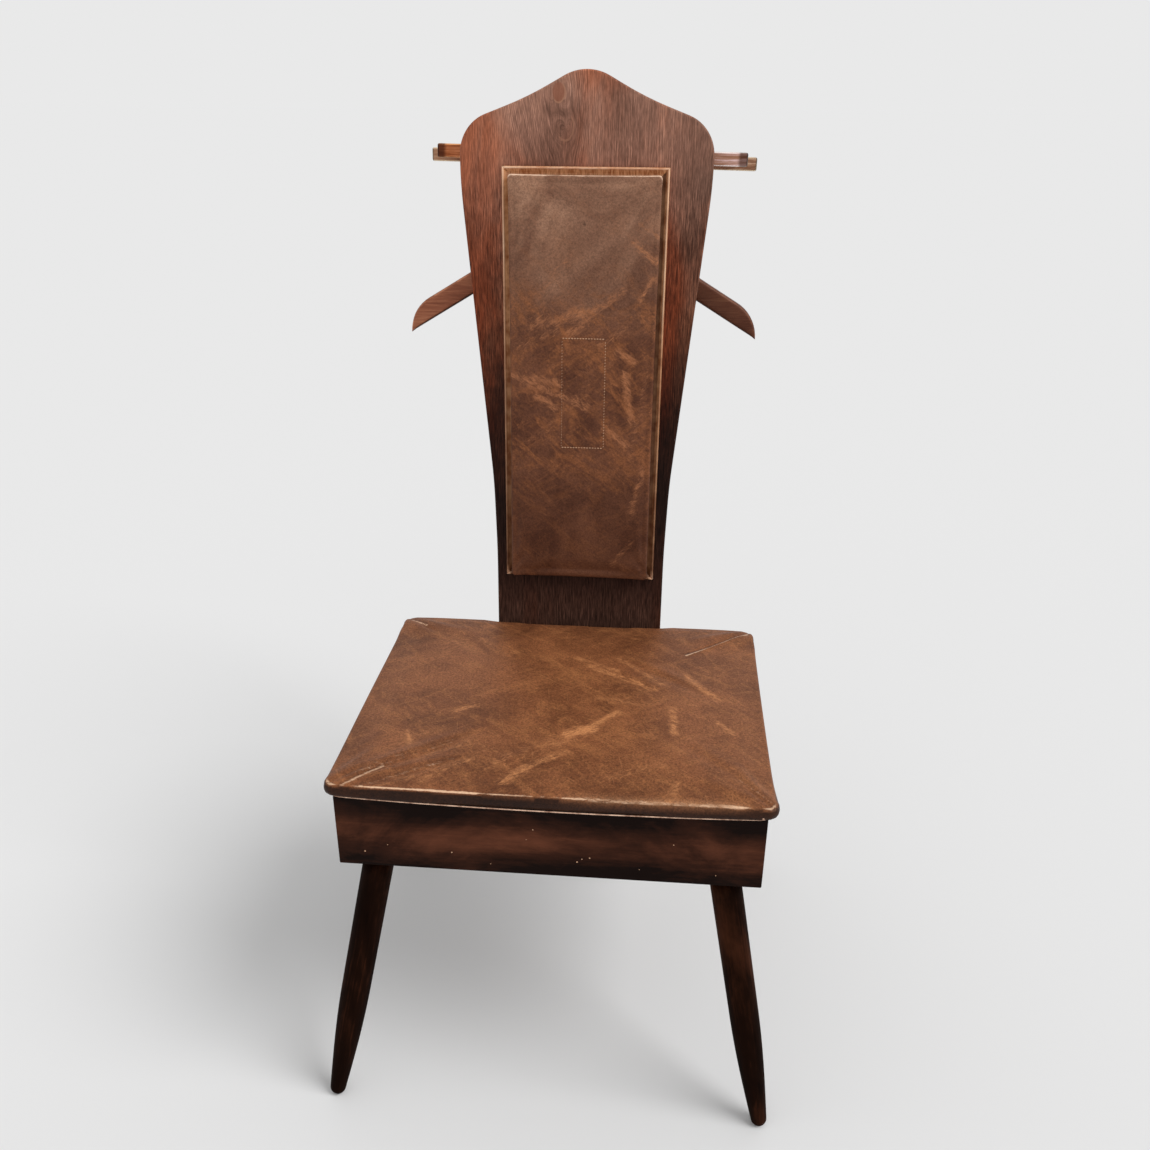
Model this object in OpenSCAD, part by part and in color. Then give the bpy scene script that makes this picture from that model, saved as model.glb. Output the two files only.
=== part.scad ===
// Clothes valet chair: lift-up padded seat over a storage box, shaped back plank,
// coat hanger and trouser rack. +Z up, +Y to the back, origin on the floor at the
// middle of the footprint. All sizes in millimetres.

/* [Seat box] */
// Height of the box's lower edge above the floor
box_z = 307; // [260:1:360]
// Height of the box walls
box_h = 86; // [60:1:130]
// Width of the box
box_w = 446; // [380:1:520]
// Thickness of the front and side walls
wall_t = 15; // [10:0.5:20]
// Thickness of the leaning back wall
back_wall_t = 16; // [12:0.5:20]
// Thickness of the bottom board
bottom_t = 10; // [8:0.5:14]
// Leg of each triangular corner block
corner_block = 18; // [10:1:30]
// Distance of the corner blocks' tops below the walls' top
block_drop = 6; // [2:1:20]

/* [Seat lid] */
// How far the lid stands out over each side of the box
lid_side_overhang = 8; // [0:0.5:12]
// Depth of the padded lid, front to back
lid_d = 394; // [340:1:440]
// How far the lid stands out in front of the box
lid_overhang = 4; // [0:0.5:12]
// Thickness of the lid's board
seat_board_t = 11; // [8:0.5:16]
// Thickness of the cover where it wraps the board's sides
cover_t = 2.2; // [1:0.1:4]
// Height of the cushion's rim above the box
seat_rim = 16; // [14:0.5:30]
// Rise of the cushion's crown above its rim
seat_crown = 9; // [2:0.5:30]
// Plan radius of the cushion's corners
seat_corner_r = 16; // [6:1:40]
// How far the cushion's sides pull in between the corners
seat_draw = 2; // [0:0.5:8]
// Gap between the hinge leaves and the pale edge cord
edge_gap = 0.3; // [0.2:0.1:3]
// Extra lift of the cover's lower edge at the corners
hem_rise = 4.5; // [0:0.5:8]
// Diameter of the pale edge cord
welt_d = 1.6; // [1:0.1:3]

/* [Hinges] */
// Barrel radius
knuckle_r = 3; // [2.5:0.1:4]
// Pin radius
hinge_pin_r = 1.3; // [1:0.05:1.5]
// Length of one knuckle
knuckle_len = 10; // [6:0.5:14]
// Number of knuckles, an odd count
knuckles = 5; // [3:2:7]
// Leaf thickness
leaf_t = 1.4; // [1:0.1:2]
// Width of the leaf on the back wall
leaf_fixed_w = 14; // [11:0.5:18]
// Width of the leaf under the lid
leaf_moving_w = 24; // [18:0.5:32]
// Distance of each hinge's middle from the box's side
hinge_inset = 93; // [60:1:140]
// Length of the screws in the back wall
hinge_screw_len = 12; // [8:0.5:18]

/* [Legs] */
// Leg diameter at the box
leg_d = 34; // [26:0.5:42]
// Leg diameter at the foot
foot_d = 18; // [12:0.5:24]
// Length of the tapered lower part
taper_len = 140; // [80:1:220]
// Outward splay in degrees
splay_x = 10.8; // [0:0.1:14]
// Forward and backward splay in degrees
splay_y = 12; // [0:0.1:14]
// Inset of a leg's top from the box's sides
leg_side_inset = 37.3; // [30:0.1:70]
// Inset of a leg's top from the front and rear faces
leg_inset = 30; // [26:1:60]
// Widening of the upper leg from its taper to the box
leg_flare = 0.8; // [0:0.1:2]
// Depth cut off each rounded foot
foot_flat = 0.8; // [0.4:0.1:3]
// Side of a square leg plate
plate_w = 48; // [40:1:56]
// Thickness of a leg plate
plate_t = 2.5; // [1.5:0.1:4]
// How far a plate's middle lies outside its leg's axis
plate_out = 6.3; // [0:0.1:8]
// Distance of a plate's screws from its edges
plate_screw_in = 6; // [5:0.5:7]
// Radius of the threaded boss on a plate
boss_r = 7.5; // [6:0.1:9]
// Height of the boss
boss_h = 9; // [6:0.5:14]
// Radius of a leg's hanger bolt
leg_bolt_r = 4; // [3:0.1:5]
// Depth of the hanger bolt in the leg
leg_bolt_in = 34; // [20:1:60]

/* [Back plank] */
// Backward lean in degrees
recline = 3; // [0:0.5:8]
// Plank thickness
panel_t = 16; // [12:0.5:22]
// Height of the crest above the cushion's rim, along the plank
crest_s = 659; // [600:1:720]
// Width of the plank's parallel lower part
panel_lower_w = 218; // [180:1:260]
// Width of the plank at its shoulders
panel_upper_w = 290; // [250:1:320]
// Where the lower part starts to widen
widening_s = 95; // [60:1:120]
// Width of the plank where its taper begins
panel_taper_w = 224; // [190:1:270]
// Where the taper begins
taper_start_s = 188; // [150:1:240]
// Where the taper ends below the shoulders
taper_end_s = 540; // [480:1:545]
// Radius of the shoulders
shoulder_r = 45; // [25:1:55]
// Height of the shoulders' centres
shoulder_s = 571; // [540:1:575]
// Slope of the crest where it meets a shoulder, in degrees
shoulder_slope = 20; // [10:1:22]
// Radius of the crest's crown
crown_r = 55; // [30:1:70]
// Slope of the crown's flanks in degrees
crown_slope = 28; // [24:1:34]
// Largest radius of the hollow between crown and shoulder
hollow_r = 400; // [60:5:500]
// Radius of the bolts that hold the plank
panel_bolt_r = 3; // [2:0.1:4]
// Sideways place of the plank's bolts
panel_bolt_x = 75; // [40:1:85]
// Height of the lower bolts above the box's lower edge
panel_bolt_low = 24; // [20:1:30]
// Distance from the lower bolts up to the upper ones
panel_bolt_pitch = 40; // [20:1:44]
// Radius of a bolt's round head
bolt_head_r = 6.5; // [5:0.1:9]
// Height of a bolt's round head
bolt_head_h = 3; // [2:0.1:5]
// Height of a nut
nut_h = 5; // [3:0.1:7]

/* [Back pad] */
// Width of the pad at the plank
pad_w = 173; // [140:1:190]
// Height of the pad at the plank
pad_h = 477; // [400:1:500]
// Middle of the pad above the cushion's rim
pad_s = 311.5; // [290:0.5:320]
// Thickness of the pad
pad_t = 18; // [12:0.5:26]
// How far the pad's sides swell
pad_swell = 1.6; // [0:0.1:3]
// Rise of the pad's crown above its rim
pad_crown = 3; // [0:0.5:8]
// Thickness of the board in the pad
pad_board_t = 8; // [5:0.5:10]
// Width of the moulding's section
moulding_w = 9.5; // [7:0.5:14]
// Height of the moulding's bead
moulding_h = 5.5; // [4:0.5:8]

/* [Coat hanger] */
// Width across the hanger's tips
hanger_w = 427; // [360:1:460]
// Sideways place of the hanger's middle
hanger_x = -5; // [-10:1:10]
// Height of the hanger's tips
hanger_tip_s = 367; // [340:1:390]
// Slope of the arms in degrees
hanger_slope = 30.5; // [20:0.5:35]
// Width of an arm
hanger_arm = 23.5; // [18:0.5:32]
// Radius of the hanger's inner bend at the middle
hanger_bend_r = 90; // [60:1:140]
// Length of the rounded stretch at a tip
hanger_tip_len = 40; // [25:1:60]
// Thickness of the hanger
hanger_t = 18; // [12:0.5:24]
// Thickness of the block behind the plank
hanger_gap = 20; // [10:0.5:40]
// Width of the block behind the plank
hanger_spacer_w = 60; // [50:1:90]
// Sideways place of the hanger's screws from its middle
hanger_screw_x = 18; // [12:1:22]

/* [Trouser rack] */
// Length of the front rail
front_rail_len = 361; // [320:1:400]
// Length of the rear rail
rear_rail_len = 387; // [340:1:420]
// Height of a rail's section
rail_h = 15; // [10:0.5:22]
// Thickness of a rail
rail_t = 12; // [8:0.5:18]
// Height of the front rail's middle
front_rail_s = 572; // [550:1:580]
// How much lower the rear rail lies
rear_rail_drop = 4.5; // [0:0.5:6]
// Space between the plank and the front rail
rail_gap_front = 14; // [8:0.5:30]
// Space between the rails, where the trousers hang
rail_gap = 22; // [16:0.5:40]
// Sideways place of the rack's middle
rack_x = 4; // [-10:1:10]
// How far the rack hangs askew, in degrees, its right end lower
rack_turn = 1.1; // [-3:0.1:3]
// Sideways place of the blocks behind the plank
rack_block_x = 90; // [60:1:110]
// Length of a block behind the plank
rack_block_len = 40; // [25:1:50]
// Distance of a spacer's middle from the front rail's end
rack_spacer_inset = 25.5; // [20:0.5:50]
// Length of a spacer between the rails
rack_spacer_len = 30; // [20:1:40]

/* [Fasteners and fits] */
// Radius of a wood screw
screw_r = 1.8; // [1.4:0.1:2.2]
// Radius of a wood screw's countersunk head
screw_head_r = 3.6; // [2.8:0.1:4.4]
// Radial clearance of screws and bolts in their holes
hole_gap = 0.1; // [0.05:0.05:0.4]
// Radial running clearance of a hinge pin
pin_gap = 0.05; // [0.02:0.01:0.1]
// Gap between moving metal parts
run_gap = 0.4; // [0.3:0.05:0.8]
// Height of a hinge barrel above the wall it is screwed to
barrel_lift = 0.3; // [0.1:0.05:0.6]
// Gap that keeps soft parts clear of their neighbours
soft_gap = 0.3; // [0.2:0.05:0.5]

/* [Hidden] */
$fn = 48;
eps = 0.01;
far = 400;
hole_lead = 0.5;
bend_reach = 25;

// Heights and depths of the box and the lid, with y = 0 at the box's front face
box_top = box_z + box_h;
lid_w = box_w + 2 * lid_side_overhang;
lid_rear = lid_d - lid_overhang;
hinge_x = box_w / 2 - hinge_inset;
rim_z = box_top + seat_rim;
hinge_y = lid_rear + knuckle_r + 2 * soft_gap;
hinge_z = box_top + knuckle_r + barrel_lift;
panel_y = hinge_y + leaf_fixed_w + run_gap;
panel_s0 = (box_top - rim_z) / cos(recline);
panel_y_rim = panel_y - panel_s0 * sin(recline);
box_bottom_s = (box_z - rim_z) / cos(recline);
inner_back_y = panel_y - back_wall_t - box_h * tan(recline);
barrel_len = knuckles * knuckle_len;

// Lid: the board lies inside the cover, whose sides swell and draw in
lid_swell = 1;
seat_crease = 3;
board_in = cover_t + seat_draw + lid_swell;
welt_z = leaf_t + edge_gap + welt_d / 2;
hem_z = welt_z + welt_d / 2 + soft_gap;

// Fastener lengths, from what each goes through and how far it bites
tip_cover = 2;
tip_cover_deep = 4;
plate_screw_len = plate_t + bottom_t - tip_cover;
lid_screw_len = seat_board_t - tip_cover;
pad_screw_len = panel_t + pad_board_t - tip_cover;
hanger_screw_len = hanger_t + hanger_gap + panel_t - tip_cover_deep;
rack_block_screw_len = rail_t + rail_gap_front + panel_t - tip_cover_deep;
rack_spacer_screw_len = rail_t + rail_gap + rail_t - tip_cover_deep;
panel_bolt_s = [box_bottom_s + panel_bolt_low, box_bottom_s + panel_bolt_low + panel_bolt_pitch];

// Pad corners and creases, and the opening inside the moulding
pad_corner_r = 4;
pad_draw = 0.6;
pad_crease = 0.8;
frame_in_w = pad_w + 2 * soft_gap;
frame_in_h = pad_h + 2 * soft_gap;

// Legs: axis from the plate's underside down to the middle of the rounded foot
foot_r = foot_d / 2;
leg_top_z = box_z - plate_t;
foot_z = foot_r - foot_flat;
leg_x = box_w / 2 - leg_side_inset;
leg_drop = leg_top_z - foot_z;
foot_out = leg_drop * tan(splay_x);
foot_fore = leg_drop * tan(splay_y);
leg_len = norm([foot_out, foot_fore, leg_drop]);
front_leg_y = leg_inset;
rear_leg_y = panel_y - box_h * tan(recline) - leg_inset;
bolt_tip = boss_h + 0.5;
plate_screw_at = plate_w / 2 - plate_screw_in;

// Levels behind the plank, measured square to it
hanger_spacer_h = hanger_arm - 6;
hanger_off = panel_t + hanger_gap;
front_rail_off = panel_t + rail_gap_front;
rear_rail_off = front_rail_off + rail_t + rail_gap;
rear_rail_s = front_rail_s - rear_rail_drop;
rack_spacer_x = front_rail_len / 2 - rack_spacer_inset;
hanger_mid_s = hanger_tip_s + (hanger_w / 2 - hanger_bend_r * sin(hanger_slope)) * tan(hanger_slope)
    + hanger_bend_r * (1 - cos(hanger_slope)) + hanger_arm / 2;

// Origin: middle of the footprint, from the front feet to the rear rail
front_y = front_leg_y - foot_fore - foot_r;
rear_y = panel_y_rim + (rear_rail_off + rail_t) * cos(recline)
    + (rear_rail_s + rail_h / 2) * sin(recline);
mid_y = (front_y + rear_y) / 2;

wood_dark = [0.16, 0.09, 0.06];
wood_red = [0.33, 0.17, 0.11];
wood_light = [0.62, 0.40, 0.24];
leather = [0.36, 0.24, 0.16];
steel = [0.45, 0.44, 0.43];

// ---- placing ----

module in_box_frame() translate([0, -mid_y, 0]) children();

// Origin on the plank's front face at the height of the cushion's rim,
// +Y square to the plank and to the back, +Z up along it
module on_panel() in_box_frame() translate([0, panel_y_rim, rim_z]) rotate([-recline, 0, 0]) children();

// Origin at the top of a leg, +Z up along its axis; sx and sy say which corner
module at_leg(sx, sy) in_box_frame()
    translate([sx * leg_x, sy < 0 ? front_leg_y : rear_leg_y, leg_top_z])
    rotate([sy * atan(tan(splay_y) * cos(splay_x)), -sx * splay_x, 0]) children();

// Same place, but upright
module under_box(sx, sy) in_box_frame()
    translate([sx * leg_x, sy < 0 ? front_leg_y : rear_leg_y, leg_top_z]) children();

// ---- fasteners ----

// Countersunk screw from the origin along +Y; the head's face is at y = 0
module screw(len) rotate([-90, 0, 0]) {
    cylinder(h = len, r = screw_r);
    cylinder(h = screw_head_r - screw_r, r1 = screw_head_r, r2 = screw_r);
}

// Its hole; the countersink's cone runs on past the face that the head lies in
module screw_hole(len) rotate([-90, 0, 0]) {
    cylinder(h = len + hole_gap, r = screw_r + hole_gap);
    translate([0, 0, -hole_lead]) cylinder(h = screw_head_r - screw_r + hole_lead,
        r1 = screw_head_r + hole_gap + hole_lead, r2 = screw_r + hole_gap);
}

// Bolt along +Y with a round head outside and a nut beyond the wall
module bolt(len) rotate([-90, 0, 0]) {
    cylinder(h = len, r = panel_bolt_r);
    translate([0, 0, -bolt_head_h]) cylinder(h = bolt_head_h, r1 = bolt_head_r * 0.7, r2 = bolt_head_r);
}

// ---- outlines ----

function arc(c, r, a0, a1, n) =
    [for (i = [0:n]) let (a = a0 + (a1 - a0) * i / n) c + r * [cos(a), sin(a)]];

// Corner b between a and c, eased over reach on both sides
function soft_corner(a, b, c, reach, n) =
    let (p = b + reach * (a - b) / norm(a - b), q = b + reach * (c - b) / norm(c - b))
    [for (i = [0:n]) let (t = i / n) (1 - t) * (1 - t) * p + 2 * t * (1 - t) * b + t * t * q];

// Right half of the plank's outline, from the crest down to the lower end
function panel_half() =
    let (
        crown_c = [0, crest_s - crown_r],
        crown_end = crown_c + crown_r * [sin(crown_slope), cos(crown_slope)],
        shoulder_c = [panel_upper_w / 2 - shoulder_r, shoulder_s],
        shoulder_in = shoulder_c + shoulder_r * [sin(shoulder_slope), cos(shoulder_slope)],
        u = [cos(crown_slope), -sin(crown_slope)],
        v = [cos(shoulder_slope), -sin(shoulder_slope)],
        gap = shoulder_in - crown_end,
        t = (gap[0] * v[1] - gap[1] * v[0]) / (u[0] * v[1] - u[1] * v[0]),
        meet = crown_end + t * u,
        room = 0.9 * min(norm(shoulder_in - meet), norm(meet - crown_end)),
        half_turn = (crown_slope - shoulder_slope) / 2,
        r = min(hollow_r, room / tan(half_turn)),
        hollow_c = meet - r * tan(half_turn) * u + r * [sin(crown_slope), cos(crown_slope)],
        side = [shoulder_c + [shoulder_r, 0], [panel_upper_w / 2, taper_end_s],
            [panel_taper_w / 2, taper_start_s], [panel_lower_w / 2, widening_s],
            [panel_lower_w / 2, box_bottom_s]])
    concat(
        arc(crown_c, crown_r, 90, 90 - crown_slope, 8),
        arc(hollow_c, r, 270 - crown_slope, 270 - shoulder_slope, 4),
        arc(shoulder_c, shoulder_r, 90 - shoulder_slope, 0, 12),
        [for (i = [1:3]) each soft_corner(side[i - 1], side[i], side[i + 1], bend_reach, 4)],
        [side[4]]);

function mirrored(half) = concat(half, [for (i = [len(half) - 1:-1:0])
    if (abs(half[i][0]) > eps) [-half[i][0], half[i][1]]]);

// Right half of the hanger: the upper edge out to the tip, then the lower edge back
function hanger_half() =
    let (
        a = hanger_slope,
        bend_x = hanger_bend_r * sin(a),
        bend_z = hanger_tip_s + (hanger_w / 2 - bend_x) * tan(a),
        c = [0, bend_z - hanger_bend_r * cos(a)],
        tip = [hanger_w / 2, hanger_tip_s],
        tip_r = (pow(hanger_tip_len, 2) + pow(hanger_arm, 2)) / (2 * hanger_arm),
        u = [cos(a), -sin(a)],
        n = [sin(a), cos(a)],
        tip_c = tip - hanger_tip_len * u + (hanger_arm - tip_r) * n,
        turn = asin(hanger_tip_len / tip_r))
    [arc(c, hanger_bend_r + hanger_arm, 90, 90 - a, 6),
    arc(tip_c, tip_r, 90 - a, 90 - a - turn, 8),
    arc(c, hanger_bend_r, 90 - a, 90, 6)];

function hanger_outline() =
    let (h = hanger_half(), right = concat(h[0], h[1], h[2]), n = len(right))
    concat(right, [for (i = [n - 2:-1:1]) [-right[i][0], right[i][1]]]);

// ---- soft forms ----

corner_steps = 5;
side_steps = 9;
edge_round = 2.2;
crease_reach = 45;

// Rounded rectangle whose sides pull in by draw between the corners
function rim(w, d, r, draw) = [for (q = [0:3]) let (
        a = 90 * q,
        sx = (q == 0 || q == 3) ? 1 : -1,
        sy = q < 2 ? 1 : -1,
        c = [sx * (w / 2 - r), sy * (d / 2 - r)],
        along_x = q == 0 || q == 2,
        run = along_x ? w - 2 * r : d - 2 * r,
        end = c + r * [cos(a + 90), sin(a + 90)],
        step = [cos(a + 180), sin(a + 180)],
        inward = [cos(a + 270), sin(a + 270)])
    each concat(arc(c, r, a, a + 90, corner_steps),
        [for (i = [1:side_steps]) let (f = i / (side_steps + 1))
            end + step * run * f + inward * draw * sin(180 * f)])];

// 1 at a corner of the rectangle, fading to 0 over reach
function near_corner(p, w, d, reach) =
    let (gap = norm([w / 2 - abs(p[0]), d / 2 - abs(p[1])])) exp(-pow(gap / reach, 2));

// A cushion: rings up its sides and in across its crown, then one middle point.
// It lies on z = 0; lift raises its lower edge at the corners.
module cushion(w, d, h, r, draw, swell, crown, lower, lift, crease) {
    side = [[-swell, 0], [-swell, 0.17], [-swell * 0.25, 0.42], [0, 0.68],
        [-0.3 * edge_round, 0.87], [-edge_round, 1]];
    inner = [0.955, 0.88, 0.76, 0.6, 0.4, 0.2];
    base = rim(w, d, r, draw);
    n = len(base);
    count = len(side) + len(inner);
    points = concat(
        [for (s = side) each [for (p = base) let (
                k = near_corner(p, w, d, crease_reach),
                f = [(w / 2 + s[0]) / (w / 2), (d / 2 + s[0]) / (d / 2)],
                z0 = lower + lift * k)
            [p[0] * f[0], p[1] * f[1], z0 + (h - z0) * s[1] - crease * 0.5 * s[1] * k]]],
        [for (f = inner) each [for (p = base) let (
                k = near_corner(p, w, d, crease_reach * 2 / 3),
                g = crease * k * max(0, sin(180 * (1 - f) / 0.5)))
            [p[0] * f, p[1] * f, h + crown * (1 - pow(f, 2.6)) * 0.98 - g * 0.6]]],
        [[0, 0, h + crown], [0, 0, lower + lift]]);
    top = n * count;
    faces = concat(
        [for (k = [0:count - 2], i = [0:n - 1]) let (j = (i + 1) % n)
            each [[k * n + i, (k + 1) * n + i, k * n + j], [k * n + j, (k + 1) * n + i, (k + 1) * n + j]]],
        [for (i = [0:n - 1]) let (j = (i + 1) % n) [(count - 1) * n + i, top, (count - 1) * n + j]],
        [for (i = [0:n - 1]) let (j = (i + 1) % n) [i, j, top + 1]]);
    polyhedron(points, faces);
}

// Thin round cord in a closed loop through the points
module loop_cord(path, r, sides = 6) {
    n = len(path);
    points = [for (i = [0:n - 1]) let (
            t = path[(i + 1) % n] - path[(i + n - 1) % n],
            out = cross(t / norm(t), [0, 0, 1]),
            u = out / norm(out))
        for (a = [0:360 / sides:359]) path[i] + r * (cos(a) * u + sin(a) * [0, 0, 1])];
    faces = [for (i = [0:n - 1], k = [0:sides - 1]) let (
            a = i * sides + k, b = i * sides + (k + 1) % sides,
            c = ((i + 1) % n) * sides + k, e = ((i + 1) % n) * sides + (k + 1) % sides)
        each [[a, b, c], [b, e, c]]];
    polyhedron(points, faces);
}

// ---- seat box ----

// Everything in front of the plank's front face
module ahead_of_panel(back = 0) on_panel()
    translate([-far, -2 * far - back, -2 * far]) cube([2 * far, 2 * far, 4 * far]);

module box_front() color(wood_dark) difference() {
    in_box_frame() translate([-box_w / 2, 0, box_z]) cube([box_w, wall_t, box_h]);
    plate_screw_holes();
}

module box_side(sx) color(wood_dark) difference() {
    intersection() {
        in_box_frame() translate([sx > 0 ? box_w / 2 - wall_t : -box_w / 2, wall_t, box_z])
            cube([wall_t, panel_y, box_h]);
        ahead_of_panel(back_wall_t);
    }
    plate_screw_holes();
}

module box_left() box_side(-1);
module box_right() box_side(1);

module box_back() color(wood_dark) difference() {
    intersection() {
        in_box_frame() translate([-box_w / 2, panel_y - 3 * back_wall_t, box_z])
            cube([box_w, 4 * back_wall_t, box_h]);
        on_panel() translate([-box_w / 2, -back_wall_t, -far]) cube([box_w, back_wall_t, 2 * far]);
    }
    panel_bolt_places() translate([0, -back_wall_t - 1, 0]) rotate([-90, 0, 0])
        cylinder(h = back_wall_t + 2, r = panel_bolt_r + hole_gap);
    fixed_screw_places() screw_hole(hinge_screw_len);
    plate_screw_holes();
}

module box_bottom() color(wood_dark) difference() {
    intersection() {
        in_box_frame() translate([wall_t - box_w / 2, wall_t, box_z])
            cube([box_w - 2 * wall_t, panel_y, bottom_t]);
        ahead_of_panel(back_wall_t);
    }
    for (sx = [-1, 1], sy = [-1, 1])
        at_leg(sx, sy) translate([0, 0, -2 * boss_r]) cylinder(h = 6 * boss_r, r = boss_r + 1);
    plate_screw_holes();
}

module corner_blocks() color(wood_dark) intersection() {
    union() for (sx = [-1, 1], sy = [-1, 1]) in_box_frame()
        translate([sx * (box_w / 2 - wall_t), sy < 0 ? wall_t : inner_back_y, box_z + bottom_t])
        linear_extrude(box_h - bottom_t - block_drop)
        polygon(sy < 0 ? [[0, 0], [-sx * corner_block, 0], [0, corner_block]]
            : [[0, -corner_block], [-sx * corner_block, 0], [-sx * corner_block, wall_t], [0, wall_t]]);
    ahead_of_panel(back_wall_t);
}

// ---- legs ----

module leg(sx, sy) color(wood_dark) difference() {
    intersection() {
        at_leg(sx, sy) translate([0, 0, -leg_len]) rotate_extrude() polygon(concat(
            [[0, -foot_r]],
            [for (a = [-75:15:0]) foot_r * [cos(a), sin(a)]],
            [for (i = [1:9]) let (t = i / 9)
                [foot_r + (leg_d / 2 - leg_flare - foot_r) * sin(90 * t), taper_len * t]],
            [[leg_d / 2, leg_len], [leg_d / 2, leg_len + leg_d], [0, leg_len + leg_d]]));
        under_box(sx, sy) translate([-far / 2, -far / 2, -leg_top_z]) cube([far, far, leg_top_z]);
    }
    at_leg(sx, sy) translate([0, 0, -leg_bolt_in - 1])
        cylinder(h = leg_bolt_in + 20, r = leg_bolt_r + hole_gap);
}

module leg_front_left() leg(-1, -1);
module leg_front_right() leg(1, -1);
module leg_rear_left() leg(-1, 1);
module leg_rear_right() leg(1, 1);

module plate_screw_places(sx, sy) under_box(sx, sy)
    for (px = [-1, 1], py = [-1, 1])
        translate([sx * plate_out + px * plate_screw_at, py * plate_screw_at, 0])
        rotate([90, 0, 0]) children();

module plate_screw_holes() for (sx = [-1, 1], sy = [-1, 1])
    plate_screw_places(sx, sy) screw_hole(plate_screw_len);

module leg_plates() color(steel) for (sx = [-1, 1], sy = [-1, 1]) difference() {
    union() {
        under_box(sx, sy) translate([sx * plate_out - plate_w / 2, -plate_w / 2, 0])
            cube([plate_w, plate_w, plate_t]);
        intersection() {
            at_leg(sx, sy) translate([0, 0, -boss_r]) cylinder(h = boss_h + boss_r, r = boss_r);
            under_box(sx, sy) translate([-far / 2, -far / 2, 0]) cube([far, far, far]);
        }
    }
    at_leg(sx, sy) translate([0, 0, -20]) cylinder(h = 40, r = leg_bolt_r + hole_gap);
    plate_screw_holes();
}

module leg_plate_screws() color(steel) for (sx = [-1, 1], sy = [-1, 1])
    plate_screw_places(sx, sy) screw(plate_screw_len);

module leg_bolts() color(steel) for (sx = [-1, 1], sy = [-1, 1])
    at_leg(sx, sy) translate([0, 0, -leg_bolt_in]) cylinder(h = leg_bolt_in + bolt_tip, r = leg_bolt_r);

// ---- back plank ----

module panel_bolt_places() on_panel()
    for (sx = [-1, 1], s = panel_bolt_s) translate([sx * panel_bolt_x, 0, s]) children();

module plank_slab(outline, t) rotate([90, 0, 0]) mirror([0, 0, 1]) linear_extrude(t) polygon(outline);

module back_panel() color(wood_red) difference() {
    on_panel() plank_slab(mirrored(panel_half()), panel_t);
    panel_bolt_places() translate([0, -1, 0]) rotate([-90, 0, 0])
        cylinder(h = panel_t + 2, r = panel_bolt_r + hole_gap);
    pad_screw_places() screw_hole(pad_screw_len);
    hanger_screw_places() screw_hole(hanger_screw_len);
    rack_block_screw_places() screw_hole(rack_block_screw_len);
}

module panel_bolts() color(steel) panel_bolt_places()
    translate([0, panel_t, 0]) rotate([0, 0, 180]) bolt(panel_t + back_wall_t + nut_h + 2);

module panel_nuts() color(steel) panel_bolt_places()
    translate([0, -back_wall_t, 0]) rotate([90, 0, 0]) difference() {
        cylinder(h = nut_h, r = panel_bolt_r * 1.9, $fn = 6);
        translate([0, 0, -1]) cylinder(h = nut_h + 2, r = panel_bolt_r + hole_gap, $fn = 48);
    }

// ---- moulding and back pad ----

// Section across a strip: x runs out from the pad, y stands off the plank
function moulding_section() = concat(
    [[0, 0], [0, moulding_h * 0.45], [moulding_w * 0.34, moulding_h * 0.5]],
    arc([moulding_w * 0.67, moulding_h * 0.5], moulding_w * 0.33, 170, 0, 8),
    [[moulding_w, 0]]);

// Strip of the given inner length along X, mitred at both ends
module strip(len) difference() {
    rotate([90, 0, 90]) translate([0, 0, -len]) linear_extrude(2 * len) polygon(moulding_section());
    for (s = [-1, 1]) translate([s * len / 2, 0, 0]) rotate([0, 0, s * -45])
        translate([s > 0 ? 0 : -2 * len, -len, -1]) cube([2 * len, 2 * len, 50]);
}

module place_strip(turn, off) color(wood_light) on_panel()
    translate([0, 0, pad_s]) rotate([90, 0, 0]) rotate([0, 0, turn]) translate([0, off, 0]) children();

module moulding_top() place_strip(0, frame_in_h / 2) strip(frame_in_w);
module moulding_bottom() place_strip(180, frame_in_h / 2) strip(frame_in_w);
module moulding_left() place_strip(90, frame_in_w / 2) strip(frame_in_h);
module moulding_right() place_strip(-90, frame_in_w / 2) strip(frame_in_h);

module pad_screw_places() on_panel()
    for (sx = [-1, 1], s = [-1, 0, 1]) translate([sx * pad_w * 0.28, panel_t, pad_s + s * pad_h * 0.38])
        rotate([0, 0, 180]) children();

module pad_board_solid(grow = 0) {
    w = pad_w - 2 * (cover_t + pad_swell - grow);
    h = pad_h - 2 * (cover_t + pad_swell - grow);
    on_panel() translate([-w / 2, -pad_board_t - grow, pad_s - h / 2]) cube([w, pad_board_t + 2 * grow, h]);
}

module back_pad_board() color(wood_light) difference() {
    pad_board_solid();
    pad_screw_places() screw_hole(pad_screw_len);
}

module back_pad() color(leather) difference() {
    on_panel() translate([0, 0, pad_s]) rotate([90, 0, 0])
        cushion(pad_w + 2 * pad_swell, pad_h + 2 * pad_swell, pad_t - pad_crown, pad_corner_r, pad_draw,
            pad_swell, pad_crown, soft_gap, 0, pad_crease);
    pad_board_solid(soft_gap);
}

module pad_screws() color(steel) pad_screw_places() screw(pad_screw_len);

// ---- coat hanger ----

module hanger_screw_places() on_panel()
    for (sx = [-1, 1]) translate([hanger_x + sx * hanger_screw_x, hanger_off + hanger_t, hanger_mid_s])
        rotate([0, 0, 180]) children();

module coat_hanger() color(wood_red) difference() {
    on_panel() translate([hanger_x, hanger_off, 0]) plank_slab(hanger_outline(), hanger_t);
    hanger_screw_places() screw_hole(hanger_screw_len);
}

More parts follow.
